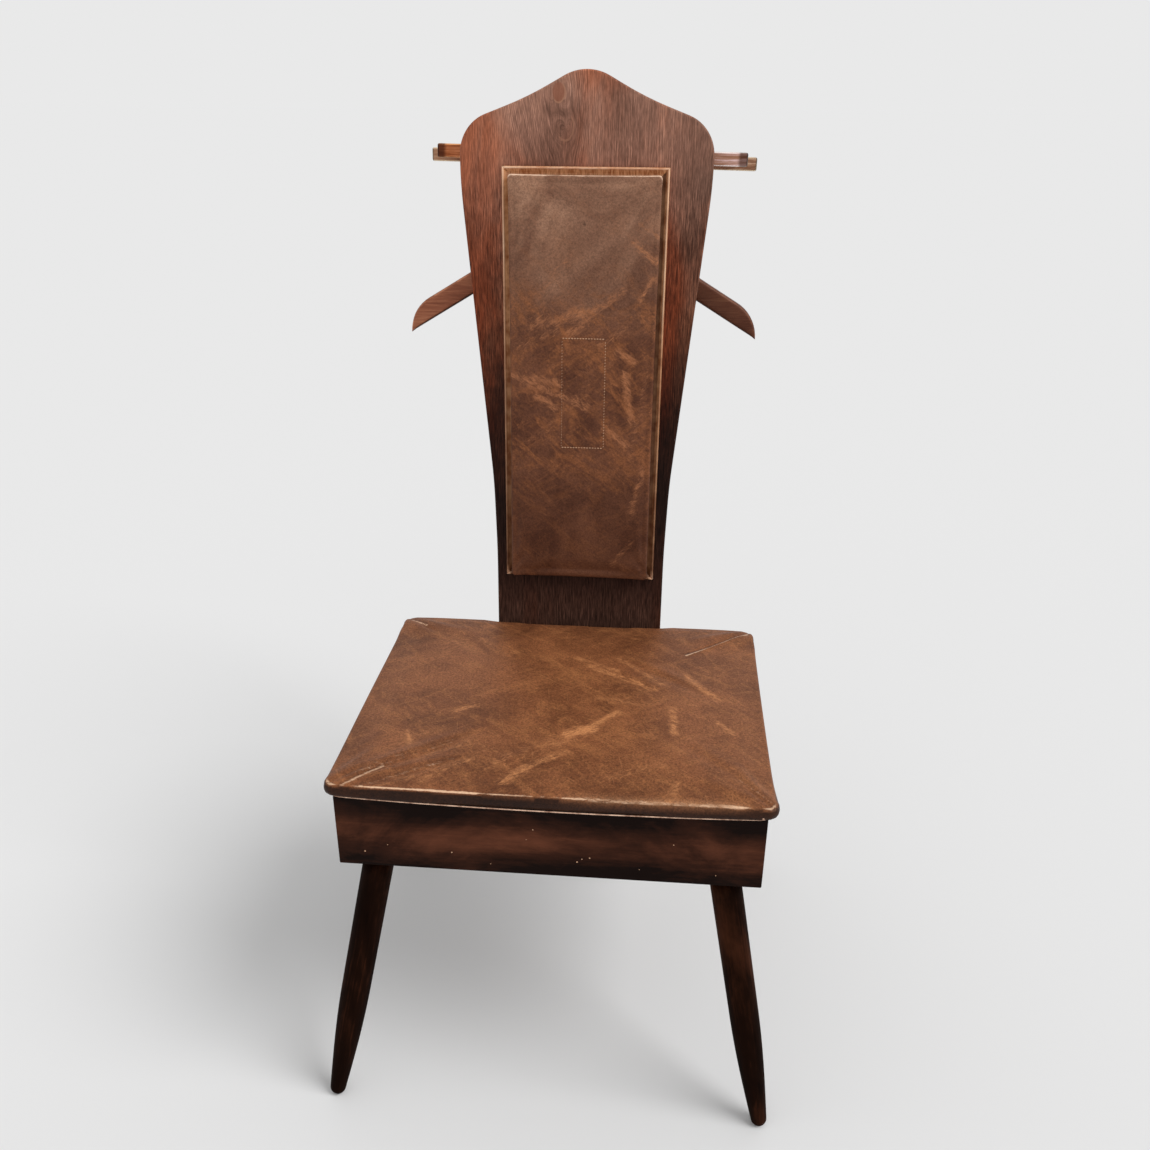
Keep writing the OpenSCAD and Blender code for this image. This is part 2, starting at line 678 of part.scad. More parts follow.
module hanger_spacer() color(wood_red) difference() {
    on_panel() translate([hanger_x - hanger_spacer_w / 2, panel_t, hanger_mid_s - hanger_spacer_h / 2])
        cube([hanger_spacer_w, hanger_gap, hanger_spacer_h]);
    hanger_screw_places() screw_hole(hanger_screw_len);
}

module hanger_screws() color(steel) hanger_screw_places() screw(hanger_screw_len);

// ---- trouser rack ----

// Origin on the plank's front face, at the middle of the front rail
module on_rack() on_panel()
    translate([rack_x, 0, front_rail_s]) rotate([0, rack_turn, 0]) children();

module rack_block_screw_places() on_rack()
    for (sx = [-1, 1]) translate([sx * rack_block_x, front_rail_off + rail_t, 0])
        rotate([0, 0, 180]) children();

module rack_spacer_screw_places() on_rack()
    for (sx = [-1, 1]) translate([sx * rack_spacer_x, rear_rail_off + rail_t, -rear_rail_drop / 2])
        rotate([0, 0, 180]) children();

module rail(len, off, drop) on_rack()
    translate([-len / 2, off, -drop - rail_h / 2]) cube([len, rail_t, rail_h]);

module trouser_rail_front() color(wood_red) difference() {
    rail(front_rail_len, front_rail_off, 0);
    rack_block_screw_places() screw_hole(rack_block_screw_len);
    rack_spacer_screw_places() screw_hole(rack_spacer_screw_len);
}

module trouser_rail_rear() color(wood_red) difference() {
    rail(rear_rail_len, rear_rail_off, rear_rail_drop);
    rack_spacer_screw_places() screw_hole(rack_spacer_screw_len);
}

module rack_blocks() color(wood_red) difference() {
    on_rack() for (sx = [-1, 1])
        translate([sx * rack_block_x - rack_block_len / 2, panel_t, -rail_h / 2])
        cube([rack_block_len, rail_gap_front, rail_h]);
    rack_block_screw_places() screw_hole(rack_block_screw_len);
}

module rack_spacers() color(wood_red) difference() {
    on_rack() for (sx = [-1, 1])
        translate([sx * rack_spacer_x - rack_spacer_len / 2, front_rail_off + rail_t, -rail_h / 2])
        cube([rack_spacer_len, rail_gap, rail_h - rear_rail_drop]);
    rack_spacer_screw_places() screw_hole(rack_spacer_screw_len);
}

module rack_screws() color(steel) {
    rack_block_screw_places() screw(rack_block_screw_len);
    rack_spacer_screw_places() screw(rack_spacer_screw_len);
}

// ---- hinges ----

module hinge_places() in_box_frame()
    for (sx = [-1, 1]) translate([sx * hinge_x, hinge_y, hinge_z]) children();

// Knuckles with the given parity and their pin bore; the odd ones run between the even ones
module barrel(parity, bore_r) for (i = [parity:2:knuckles - 1]) let (gap = parity * run_gap)
    translate([-barrel_len / 2 + i * knuckle_len + gap / 2, 0, 0]) rotate([0, 90, 0])
    difference() {
        cylinder(h = knuckle_len - gap, r = knuckle_r);
        translate([0, 0, -1]) cylinder(h = knuckle_len + 2, r = bore_r);
    }

module leaf(parity, width, bore_r) difference() {
    union() {
        barrel(parity, bore_r);
        translate([-barrel_len / 2, 0, -knuckle_r - barrel_lift]) cube([barrel_len, width, leaf_t]);
    }
    for (i = [1 - parity:2:knuckles - 1]) translate([-barrel_len / 2 + i * knuckle_len - run_gap / 2,
            -knuckle_r - run_gap, -knuckle_r - 1])
        cube([knuckle_len + run_gap, 2 * (knuckle_r + run_gap), 2 * knuckle_r + 2]);
    rotate([0, 90, 0]) translate([0, 0, -barrel_len]) cylinder(h = 2 * barrel_len, r = bore_r);
}

module fixed_screw_places() hinge_places()
    for (sx = [-1, 1])
        translate([sx * barrel_len * 0.3, leaf_fixed_w * 0.62, -knuckle_r - barrel_lift + leaf_t])
        rotate([-90, 0, 0]) children();

module moving_screw_places() hinge_places()
    for (sx = [-1, 1]) translate([sx * barrel_len * 0.3, -leaf_moving_w * 0.6, -knuckle_r - barrel_lift])
        rotate([90, 0, 0]) children();

module hinge_leaves_fixed() color(steel) difference() {
    hinge_places() leaf(0, leaf_fixed_w, hinge_pin_r + pin_gap);
    fixed_screw_places() screw_hole(hinge_screw_len);
}

module hinge_leaves_moving() color(steel) difference() {
    hinge_places() mirror([0, 1, 0]) leaf(1, leaf_moving_w, hinge_pin_r + pin_gap);
    moving_screw_places() screw_hole(lid_screw_len);
}

module hinge_pins() color(steel) hinge_places()
    rotate([0, 90, 0]) translate([0, 0, -barrel_len / 2]) cylinder(h = barrel_len, r = hinge_pin_r);

module hinge_screws_fixed() color(steel) fixed_screw_places() screw(hinge_screw_len);
module hinge_screws_moving() color(steel) moving_screw_places() screw(lid_screw_len);

// ---- lid ----

module on_lid() in_box_frame() translate([0, lid_rear - lid_d / 2, box_top]) children();

// Board with rounded plan corners, concentric with the cushion's own
module seat_board_solid(grow = 0) {
    w = lid_w - 2 * board_in + 2 * grow;
    d = lid_d - 2 * board_in + 2 * grow;
    r = max(seat_corner_r - board_in, 1) + grow;
    t = seat_board_t + 2 * grow;
    on_lid() translate([0, 0, -grow]) {
        translate([-w / 2, r - d / 2, 0]) cube([w, d - 2 * r, t]);
        translate([r - w / 2, -d / 2, 0]) cube([w - 2 * r, d, t]);
        for (sx = [-1, 1], sy = [-1, 1]) translate([sx * (w / 2 - r), sy * (d / 2 - r), 0])
            cylinder(h = t, r = r);
    }
}

module seat_board() color(wood_dark) difference() {
    seat_board_solid();
    hinge_places() translate([-barrel_len / 2 - run_gap, -leaf_moving_w - run_gap, -knuckle_r - 1])
        cube([barrel_len + 2 * run_gap, 2 * leaf_moving_w, 1 - barrel_lift + leaf_t + run_gap / 2]);
    moving_screw_places() screw_hole(lid_screw_len);
}

module seat_pad() color(leather) difference() {
    on_lid() cushion(lid_w, lid_d, seat_rim, seat_corner_r, seat_draw,
        lid_swell, seat_crown, hem_z, hem_rise, seat_crease);
    seat_board_solid(soft_gap);
}

module seat_welt() color(wood_light) on_lid() loop_cord(
    [for (p = rim(lid_w - welt_d, lid_d - welt_d, seat_corner_r, seat_draw))
        let (k = near_corner(p, lid_w, lid_d, crease_reach))
        [p[0], p[1], welt_z + hem_rise * k]], welt_d / 2);

box_front();
box_left();
box_right();
box_back();
box_bottom();
corner_blocks();
leg_front_left();
leg_front_right();
leg_rear_left();
leg_rear_right();
leg_plates();
leg_plate_screws();
leg_bolts();
back_panel();
panel_bolts();
panel_nuts();
moulding_top();
moulding_bottom();
moulding_left();
moulding_right();
back_pad_board();
back_pad();
pad_screws();
coat_hanger();
hanger_spacer();
hanger_screws();
trouser_rail_front();
trouser_rail_rear();
rack_blocks();
rack_spacers();
rack_screws();
hinge_leaves_fixed();
hinge_pins();
hinge_screws_fixed();
seat_board();
seat_pad();
seat_welt();
hinge_leaves_moving();
hinge_screws_moving();
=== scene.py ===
import math

import bmesh
import bpy
import numpy as np
from mathutils import Matrix, Vector
from mathutils.bvhtree import BVHTree
from mathutils.kdtree import KDTree


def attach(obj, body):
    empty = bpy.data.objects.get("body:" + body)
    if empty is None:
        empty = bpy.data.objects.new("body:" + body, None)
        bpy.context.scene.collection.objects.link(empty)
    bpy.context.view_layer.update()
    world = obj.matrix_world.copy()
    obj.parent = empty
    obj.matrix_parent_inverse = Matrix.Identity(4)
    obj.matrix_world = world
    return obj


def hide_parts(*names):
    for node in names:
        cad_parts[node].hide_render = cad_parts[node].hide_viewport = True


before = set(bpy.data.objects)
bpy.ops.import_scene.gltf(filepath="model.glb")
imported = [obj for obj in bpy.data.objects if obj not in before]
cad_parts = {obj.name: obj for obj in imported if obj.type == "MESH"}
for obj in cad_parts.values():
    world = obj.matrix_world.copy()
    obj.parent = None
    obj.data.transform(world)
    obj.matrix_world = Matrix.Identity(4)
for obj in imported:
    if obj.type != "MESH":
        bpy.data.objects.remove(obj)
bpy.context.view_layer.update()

# Clothes valet chair. Sizes are in millimetres, as in the part's source, and
# colours are linear. MM turns a size into Blender's metres.
MM = 0.001
MID_Y = 236.424
LID_Y = 193.0 - MID_Y
BOX_TOP = 393.0
# The plank's frame: its foot's place and how far it leans back
PLANK_Y = 408.839 - MID_Y
RIM_Z = 409.0
RECLINE = math.radians(3)

# ---------------------------------------------------------------- node helpers


class Output:
    """A shader node's output, with which sums are written as with a number or a vector."""

    def __init__(self, socket):
        self.socket, self.tree = socket, socket.id_data

    def other(self, label):
        """Another output of the same node."""
        return Output(self.socket.node.outputs[label])

    def __add__(self, value):
        return calc("ADD", self, value)

    def __sub__(self, value):
        return calc("SUBTRACT", self, value)

    def __rsub__(self, value):
        return calc("SUBTRACT", value, self)

    def __mul__(self, value):
        return calc("MULTIPLY", self, value)

    def __truediv__(self, value):
        return calc("DIVIDE", self, value)

    def __rtruediv__(self, value):
        return calc("DIVIDE", value, self)

    def __pow__(self, value):
        return calc("POWER", self, value)

    def __abs__(self):
        return calc("ABSOLUTE", self)


def give(value, socket):
    """Links an output to an input socket, or sets the socket's value."""
    if isinstance(value, Output):
        value.tree.links.new(value.socket, socket)
    else:
        socket.default_value = value


def node(tree, kind, inputs=None, output=0, **settings):
    """One output of a new shader node with these inputs and settings."""
    made = tree.nodes.new("ShaderNode" + kind)
    for key, value in settings.items():
        setattr(made, key, value)
    for key, value in (inputs or {}).items():
        give(value, made.inputs[key])
    return Output(made.outputs[output])


def calc(operation, *values, clamp=False):
    """The sum of numbers, or of vectors where any of the values is one."""
    outputs = [v for v in values if isinstance(v, Output)]
    tree, inputs = outputs[0].tree, dict(enumerate(values))
    if any(isinstance(v, tuple) for v in values) or any(v.socket.type == "VECTOR" for v in outputs):
        result = "Value" if operation == "LENGTH" else "Vector"
        return node(tree, "VectorMath", inputs, result, operation=operation)
    return node(tree, "Math", inputs, operation=operation, use_clamp=clamp)


def axes(vector):
    """The vector's three numbers."""
    first = node(vector.tree, "SeparateXYZ", {0: vector})
    return [first.other(i) for i in range(3)]


def turned(vector, turn):
    """The vector turned about Z; turn is an angle or an output."""
    if isinstance(turn, Output):
        rotation = node(vector.tree, "CombineXYZ", {2: turn})
    else:
        rotation = (0, 0, turn)
    return node(vector.tree, "Mapping", {"Vector": vector, "Rotation": rotation})


def span(value, low, high, to_low=0.0, to_high=1.0):
    """value between low and high, eased to lie between to_low and to_high."""
    inputs = {"Value": value, "From Min": low, "From Max": high, "To Min": to_low, "To Max": to_high}
    return node(value.tree, "MapRange", inputs, interpolation_type="SMOOTHSTEP")


def cloud(place, scale, detail=3.0, rough=0.5, twist=0.0):
    """Soft noise about 0.5."""
    inputs = {"Vector": place, "Scale": scale, "Detail": detail, "Roughness": rough, "Distortion": twist}
    return node(place.tree, "TexNoise", inputs)


def blend(factor, first, second, mode="MIX"):
    """Two colours blended; second may be a tuple."""
    if isinstance(second, tuple):
        second = (*second, 1.0)
    return node(first.tree, "Mix", {0: factor, 6: first, 7: second}, 2, data_type="RGBA", blend_type=mode)


def tinted(colour, by, factor=1.0):
    """The colour multiplied by another."""
    return blend(factor, colour, by, "MULTIPLY")


def grey(value):
    return node(value.tree, "CombineColor", {0: value, 1: value, 2: value})


def ramp(value, *stops):
    """A colour that changes with value; each stop is a value and a colour."""
    made = node(value.tree, "ValToRGB", {0: value})
    band = made.socket.node.color_ramp.elements
    while len(band) < len(stops):
        band.new(0.5)
    for element, (place, colour) in zip(band, stops):
        element.position = place
        element.color = (*colour, 1)
    return made


def group(name, inputs, effect):
    """A node group. inputs are the defaults of its sockets, None for a vector; effect takes their
    outputs and returns the group's results."""
    tree = bpy.data.node_groups.new(name, "ShaderNodeTree")
    for label, start in inputs.items():
        kind = "NodeSocketVector" if start is None else "NodeSocketFloat"
        socket = tree.interface.new_socket(label, in_out="INPUT", socket_type=kind)
        if start is not None:
            socket.default_value = start
    into = tree.nodes.new("NodeGroupInput").outputs
    results = effect(*[Output(into[label]) for label in inputs])
    for label in results:
        kind = "NodeSocketVector" if label == "Grain" else "NodeSocketFloat"
        tree.interface.new_socket(label, in_out="OUTPUT", socket_type=kind)
    out_of = tree.nodes.new("NodeGroupOutput").inputs
    for label, value in results.items():
        give(value, out_of[label])
    return tree


def use(effect, grain, **inputs):
    """The results of a node group on this grain, by label."""
    made = node(grain.tree, "Group", node_tree=effect).socket.node
    for label, value in {"Grain": grain, **inputs}.items():
        give(value, made.inputs[label])
    return {socket.name: Output(socket) for socket in made.outputs}


def material(name):
    """A material with one Principled shader; returns it, its tree and the shader."""
    made = bpy.data.materials.new(name)
    made.use_nodes = True
    tree = made.node_tree
    return made, tree, tree.nodes["Principled BSDF"]


def mark(tree, label):
    """What the mesh code wrote under label: grain is a place, the others are amounts."""
    return node(tree, "Attribute", output="Vector" if label == "grain" else "Fac", attribute_name=label)


def coat(shader, colour, rough, gloss=0.5):
    """What a surface's colour and its gloss come from."""
    give(colour, shader.inputs["Base Color"])
    give(rough, shader.inputs["Roughness"])
    give(gloss, shader.inputs["Specular IOR Level"])


def bump(shader, height, depth, strength):
    """Fine relief, depth mm deep."""
    inputs = {"Strength": strength, "Distance": depth * MM, "Height": height}
    give(node(height.tree, "Bump", inputs), shader.inputs["Normal"])


# ---------------------------------------------------------------- effects that materials share


def wood_figure(grain, pitch, wander):
    """Growth lines, fine fibres and slow mottling; the grain runs along Z."""
    x, y, _ = axes(grain)
    slow = cloud(grain * (9, 9, 1.6), 1, 2) - 0.5
    quick = cloud(grain * (75, 75, 11), 1, 3) - 0.5
    across = x + y * 0.4 + slow * wander + quick * (pitch * 2.2)
    wave = calc("SINE", across / pitch * math.tau) * 0.5 + 0.5
    each = span(cloud(grain * (170, 170, 7), 1, 2), 0.42, 0.60, 0.1, 1.0)
    patch = span(cloud(grain * (13, 13, 5), 1, 3), 0.38, 0.62, 0.3, 1.0)
    torn = span(cloud(grain * (420, 420, 90), 1, 3), 0.36, 0.58, 0.25, 1.0)
    return {"Lines": calc("MULTIPLY", wave ** 3.0 * each * patch * torn, 2.2, clamp=True),
        "Fibre": cloud(grain * (460, 460, 20), 1, 5, 0.72, 0.3),
        "Mottle": cloud(grain * (16, 16, 7), 1, 6, 0.62, 0.5)}


def knot(grain, place, size):
    """A knot: the grain flows round it, its lines fade towards it by Beyond, and a pale Rim half
    closes it."""
    apart = (grain - place) * (1.25, 0, 0.85)
    length = calc("LENGTH", apart)
    near = span(length, 0.0, size * 6.0, 1.0, 0.0) ** 2.0
    sideways = calc("NORMALIZE", apart) * (1, 0, 0)
    shift = node(grain.tree, "VectorMath", {0: sideways, "Scale": near * size * -1.1}, operation="SCALE")
    share = length / size
    x, _, z = axes(apart)
    ring = span(abs(share - 0.95), 0.03, 0.13, 1.0, 0.0)
    return {"Grain": grain + shift, "Inside": span(share, 0.75, 1.0, 1.0, 0.0),
        "Beyond": span(share, 0.9, 1.9), "Rim": ring * span((x - z) / size, -0.5, 0.3)}


def worn_edge(grain, edge, amount):
    """Where the finish is rubbed through along edges that the mesh marks."""
    patches = cloud(grain * (70, 70, 30), 1, 5, 0.65)
    return {"Mask": span(edge * amount + patches * 0.6, 0.55, 0.85) * edge}


def specks(grain, pitch, size):
    """Small pale nicks, one at most in each cell of the given pitch."""
    apart = node(grain.tree, "TexVoronoi", {"Vector": grain, "Scale": 1.0 / pitch})
    chance = node(grain.tree, "SeparateColor", {0: apart.other("Color")})
    return {"Mask": span(apart * pitch / (size * chance ** 2.0), 0.7, 1.0, 1.0, 0.0)}


def hide(grain):
    """Leather: pebbled height, cloudy tone and hair-fine scratches."""
    cells = node(grain.tree, "TexVoronoi", {"Vector": grain, "Scale": 620.0}, feature="SMOOTH_F1")
    strokes = []
    for turn, offset in ((0.7, 0.0), (-0.5, 3.0), (1.4, 7.0)):
        along = node(grain.tree, "Mapping", {"Vector": grain, "Rotation": (0, 0, turn),
            "Location": (offset, 0, 0)})
        strokes.append(span(cloud(along * (26, 620, 300), 1, 2, 0.5), 0.66, 0.74))
    return {"Pebble": cells * 0.7 + cloud(grain, 900, 3, 0.6) * 0.5,
        "Tone": cloud(grain, 11, 8, 0.62, 0.9),
        "Scratch": calc("MAXIMUM", calc("MAXIMUM", *strokes[:2]), strokes[2])}


def smear(grain, amount, turn, scale, grit):
    """Tears a painted smear into wisps drawn out along a direction."""
    along = turned(grain, turn)
    torn = cloud(along * (0.32, 1, 1), scale, 10, 0.76, 1.2)
    crumbs = span(cloud(along * (0.6, 1, 1), 620, 4, 0.75), 0.38, 0.58, 1.0, 0.0)
    whole = span(amount * 0.42 + torn, 0.70, 0.96) * calc("MINIMUM", amount ** 0.6, 1.0)
    return {"Mask": whole * (1.0 - crumbs * grit)}


def marbling(grain, turn):
    """Wisps of a lighter dye, drawn out along a direction."""
    along = turned(grain, turn)
    wisps = cloud(along * (13, 38, 30), 1, 9, 0.66, 1.3)
    fine = cloud(along * (60, 200, 160), 1, 6, 0.7, 0.8)
    return {"Mask": span((fine - 0.5) * 0.55 + wisps, 0.46, 0.72)}


WOOD_FIGURE = group("wood_figure", {"Grain": None, "Pitch": 0.004, "Wander": 0.03}, wood_figure)
KNOT = group("knot", {"Grain": None, "Place": None, "Size": 0.009}, knot)
WORN_EDGE = group("worn_edge", {"Grain": None, "Edge": 0.0, "Amount": 0.5}, worn_edge)
SPECKS = group("specks", {"Grain": None, "Pitch": 0.03, "Size": 0.0012}, specks)
HIDE = group("hide", {"Grain": None}, hide)
SMEAR = group("smear", {"Grain": None, "Amount": 0.0, "Turn": 0.0, "Scale": 230.0, "Grit": 0.6}, smear)
MARBLING = group("marbling", {"Grain": None, "Turn": 0.6}, marbling)

# ---------------------------------------------------------------- materials


def stained_wood(name, deep, middle, bright, pitch=0.004, lines=0.3, fibre=0.5, wear_and_highlight=0.35, nicks=None,
                 gloss=0.12, rough=0.42, marked=True, band=None, ends=None):
    """Stained and varnished wood in three tones; lines and fibre say how clearly its grain shows, nicks how
    far apart its nicks lie, band where across the board it is lightest, and ends where along it the ends
    begin that painted shade darkens."""
    made, tree, shader = material(name)
    if marked:
        grain = mark(tree, "grain")
    else:
        spot = node(tree, "TexCoord", output="Object")
        grain = node(tree, "Mapping", {"Vector": spot, "Rotation": (0, math.pi / 2, 0)})
    figure = use(WOOD_FIGURE, grain, Pitch=pitch)
    mottle = figure["Mottle"]
    level = (figure["Fibre"] - 0.5) * fibre + mottle + figure["Lines"] * lines
    if band:
        patches = cloud(grain * (60, 60, 22), 1, 8, 0.72, 0.8)
        lightest = span(abs(axes(grain)[1] - band[0]), 0.0, band[1], 0.14, -0.24)
        level = (patches - 0.5) * 0.32 + level + lightest
    colour = ramp(level, (0.30, deep), (0.50, middle), (0.80, bright))
    if marked:
        rubbed = use(WORN_EDGE, grain, Edge=mark(tree, "edge"), Amount=wear_and_highlight)["Mask"]
        colour = blend(rubbed, colour, tuple(min(1.0, c * 1.9 + 0.02) for c in bright))
    if nicks:
        colour = blend(use(SPECKS, grain, Pitch=nicks, Size=0.0016)["Mask"], colour, (0.55, 0.34, 0.22))
    if ends:
        # Painted shade on both ends of the rail, standing in for rounded ends turned away from the light;
        # along it the colour runs warmer at the left and paler at the right
        along = axes(grain)[2] - ends[0]
        ragged = (mottle - 0.5) * 0.012 + abs(along)
        painted_shade = span(ragged, ends[1] - 0.002, ends[1] + 0.003, 0.0, 0.8)
        colour = tinted(colour, ramp(along * 2.0 + 0.5, (0.3, (0.95, 0.70, 0.46)), (0.7, (1.2, 1.6, 2.3))))
        colour = tinted(colour, (0.12, 0.06, 0.03), painted_shade)
    if marked:
        # Painted shade where the mesh marks it
        colour = tinted(colour, (0.10, 0.08, 0.07), mark(tree, "painted_shade"))
    coat(shader, colour, span(mottle, 0.3, 0.7, rough + 0.08, rough - 0.05), gloss)
    bump(shader, figure["Lines"] * 0.5 + figure["Fibre"], 0.12, 0.5)
    return made


def plank_wood():
    """The back plank: knots at its top, redder at the left, and a painted light falloff that leaves it lit at
    its top and nearly black at its foot.
    """
    made, tree, shader = material("plank_wood")
    grain = mark(tree, "grain")
    upper = use(KNOT, grain, Place=(-0.0315, 0, 0.636), Size=0.0095)
    lower = use(KNOT, upper["Grain"], Place=(-0.024, 0, 0.600), Size=0.012)
    x, _, z = axes(grain)
    # Left of the knots the grain leans
    above = calc("MAXIMUM", z - 0.565, 0.0)
    left = span(x, -0.05, -0.02, 1.0, 0.0) * span(x, -0.12, -0.07)
    leaning = lower["Grain"] + node(tree, "CombineXYZ", {0: left * 0.26 * above})
    figure = use(WOOD_FIGURE, leaning, Pitch=0.0027, Wander=0.03)
    height = (figure["Mottle"] - 0.5) * 0.16 + z
    # Painted light falloff: lit towards the top, nearly black towards the foot
    colour = ramp(height / 0.66, (0.00, (0.075, 0.035, 0.024)), (0.10, (0.032, 0.014, 0.010)),
        (0.26, (0.015, 0.006, 0.004)), (0.42, (0.040, 0.013, 0.007)), (0.62, (0.134, 0.045, 0.023)),
        (0.84, (0.250, 0.118, 0.079)), (1.00, (0.300, 0.155, 0.108)))
    # Redder at the sides and the crest
    warm = cloud(grain * (14, 14, 6), 1, 4, 0.6, 0.6)
    right = span(x, 0.075, 0.09) * span(x, 0.10, 0.125, 1.0, 0.0) * span(z, 0.42, 0.56, 0.42, 0.0)
    side = (span(x, -0.145, -0.085, 0.32, 0.0) + right) * span(z, 0.16, 0.30)
    redden = span(warm + side + span(z, 0.62, 0.665, 0.0, 0.20), 0.48, 0.85)
    colour = tinted(colour, (1.20, 0.80, 0.60), redden)
    # Mottling, short flecks and, lower down, streaks
    shade = (figure["Fibre"] - 0.5) * 0.9 + figure["Mottle"]
    colour = tinted(colour, ramp(shade, (0.25, (0.50, 0.47, 0.46)), (0.50, (1.0, 0.98, 0.98)),
        (0.80, (1.5, 1.46, 1.4))))
    flecks = span(cloud(grain * (900, 900, 80), 1, 3, 0.6), 0.34, 0.66, 0.74, 1.30)
    colour = tinted(colour, grey(flecks))
    streaks = ramp(cloud(grain * (700, 700, 44), 1, 4, 0.7), (0.40, (0.44, 0.40, 0.40)),
        (0.60, (1.56, 1.58, 1.58)))
    colour = blend(span(z, 0.50, 0.58, 0.8, 0.0), colour, tinted(colour, streaks))
    # Pale growth lines, clearest in the middle and at the top, and the knots
    middle = span(abs(x), 0.07, 0.13, 1.0, 0.25)
    shown = middle * span(z, 0.50, 0.58, 0.25, 1.0) * (upper["Beyond"] * lower["Beyond"])
    colour = blend(figure["Lines"] * shown, colour, tinted(colour, (1.6, 1.65, 1.7)))
    for each, filled, edged in ((upper, 0.7, 0.7), (lower, 0.0, 0.4)):
        colour = blend(each["Inside"] * filled, colour, (0.29, 0.105, 0.060))
        colour = blend(each["Rim"] * edged, colour, (0.42, 0.20, 0.12))
    far_side = span(x, 0.09, 0.14) * span(z, 0.54, 0.58, 1.0, 0.4)
    colour = tinted(colour, (0.74, 0.82, 0.86), far_side)
    rubbed = use(WORN_EDGE, grain, Edge=mark(tree, "edge"), Amount=0.3)["Mask"]
    colour = blend(rubbed, colour, tinted(colour, (2.2, 1.9, 1.7)))
    colour = blend(use(SPECKS, grain, Pitch=0.05, Size=0.0016)["Mask"], colour, (0.40, 0.20, 0.12))
    coat(shader, colour, span(figure["Fibre"], 0.3, 0.7, 0.52, 0.40), 0.08)
    bump(shader, figure["Fibre"] + figure["Lines"], 0.15, 0.6)
    return made


def leather(name, deep, middle, wisp, rubbed, wear_and_highlight, scratches=0.2, grit=0.55):
    """Marbled leather: wisps of lighter dye, rubbed smears, and where the mesh marks them ridges made bright
    by wear and a painted highlight, a painted sheen, and dirt with painted shade. grit is how strongly its
    fine grain speckles the colour."""
    made, tree, shader = material(name)
    grain = mark(tree, "grain")
    skin = use(HIDE, grain)
    colour = ramp(skin["Tone"], (0.34, deep), (0.60, middle))
    # Painted sheen: paler and greyer where the mesh marks it
    colour = tinted(colour, (2.4, 3.4, 4.2), mark(tree, "pale"))
    marbled = mark(tree, "marble")
    for turn, share in ((0.75, 0.9), (-0.55, 0.6)):
        colour = blend(use(MARBLING, grain, Turn=turn)["Mask"] * marbled * share, colour, wisp)
    fine = cloud(grain, 430, 6, 0.85, 0.4)
    colour = tinted(colour, grey(span(fine, 0.30, 0.70, 1 - grit, 1.04 + grit)))
    for label, turn in (("rising", -0.6), ("falling", 0.6)):
        colour = blend(use(SMEAR, grain, Amount=mark(tree, label), Turn=turn)["Mask"], colour, rubbed)
    colour = blend(skin["Scratch"] * scratches, colour, rubbed)
    # Wear and a painted highlight along ridges and creases
    colour = blend(use(SMEAR, grain, Amount=mark(tree, "wear_and_highlight") * 1.4, Grit=0.2)["Mask"], colour, wear_and_highlight)
    # Dirt and painted shade
    colour = tinted(colour, (0.06, 0.045, 0.04), mark(tree, "grime_and_shade"))
    coat(shader, colour, span(fine, 0.3, 0.7, 0.56, 0.42), 0.16)
    bump(shader, skin["Pebble"] + skin["Scratch"] * -0.5, 0.16, 0.55)
    return made


def metal(name, colour, rough):
    made, tree, shader = material(name)
    tarnish = cloud(node(tree, "TexCoord", output="Object"), 240, 5, 0.6)
    dull = tuple(c * 0.35 for c in colour)
    coat(shader, ramp(tarnish, (0.35, dull), (0.65, colour)), span(tarnish, 0.3, 0.7, rough + 0.2, rough))
    shader.inputs["Metallic"].default_value = 1.0
    return made


def bead_finish():
    """The moulding: a crest lit by a painted highlight over a browner inner band with fine hatching, with
    painted shade where the mesh marks it.
    """
    made, tree, shader = material("bead_finish")
    grain = mark(tree, "grain")
    highlight_mottle = cloud(grain * (300, 300, 55), 1, 5, 0.7)
    hatch = cloud(grain * (90, 90, 560), 1, 2, 0.6)
    band = ramp(hatch, (0.36, (0.34, 0.11, 0.034)), (0.64, (0.68, 0.32, 0.145)))
    # The crest's painted highlight
    crest = ramp(highlight_mottle, (0.36, (0.66, 0.30, 0.16)), (0.62, (1.0, 0.68, 0.46)))
    colour = tinted(blend(mark(tree, "edge"), band, crest), (0.14, 0.12, 0.12), mark(tree, "painted_shade"))
    coat(shader, colour, 0.45, 0.2)
    bump(shader, hatch, 0.15, 0.5)
    return made


def cord_finish():
    made, tree, shader = material("cord_finish")
    grain = mark(tree, "grain")
    patches = cloud(grain, 90, 5, 0.7)
    coat(shader, ramp(patches, (0.35, (0.26, 0.12, 0.07)), (0.60, (0.85, 0.56, 0.40))), 0.6)
    bump(shader, cloud(grain, 1400, 2), 0.08, 0.5)
    return made


def thread_finish():
    made, tree, shader = material("thread_finish")
    twist = cloud(mark(tree, "grain"), 1800, 2)
    coat(shader, ramp(twist, (0.35, (0.30, 0.14, 0.07)), (0.65, (0.75, 0.46, 0.28))), 0.8)
    return made


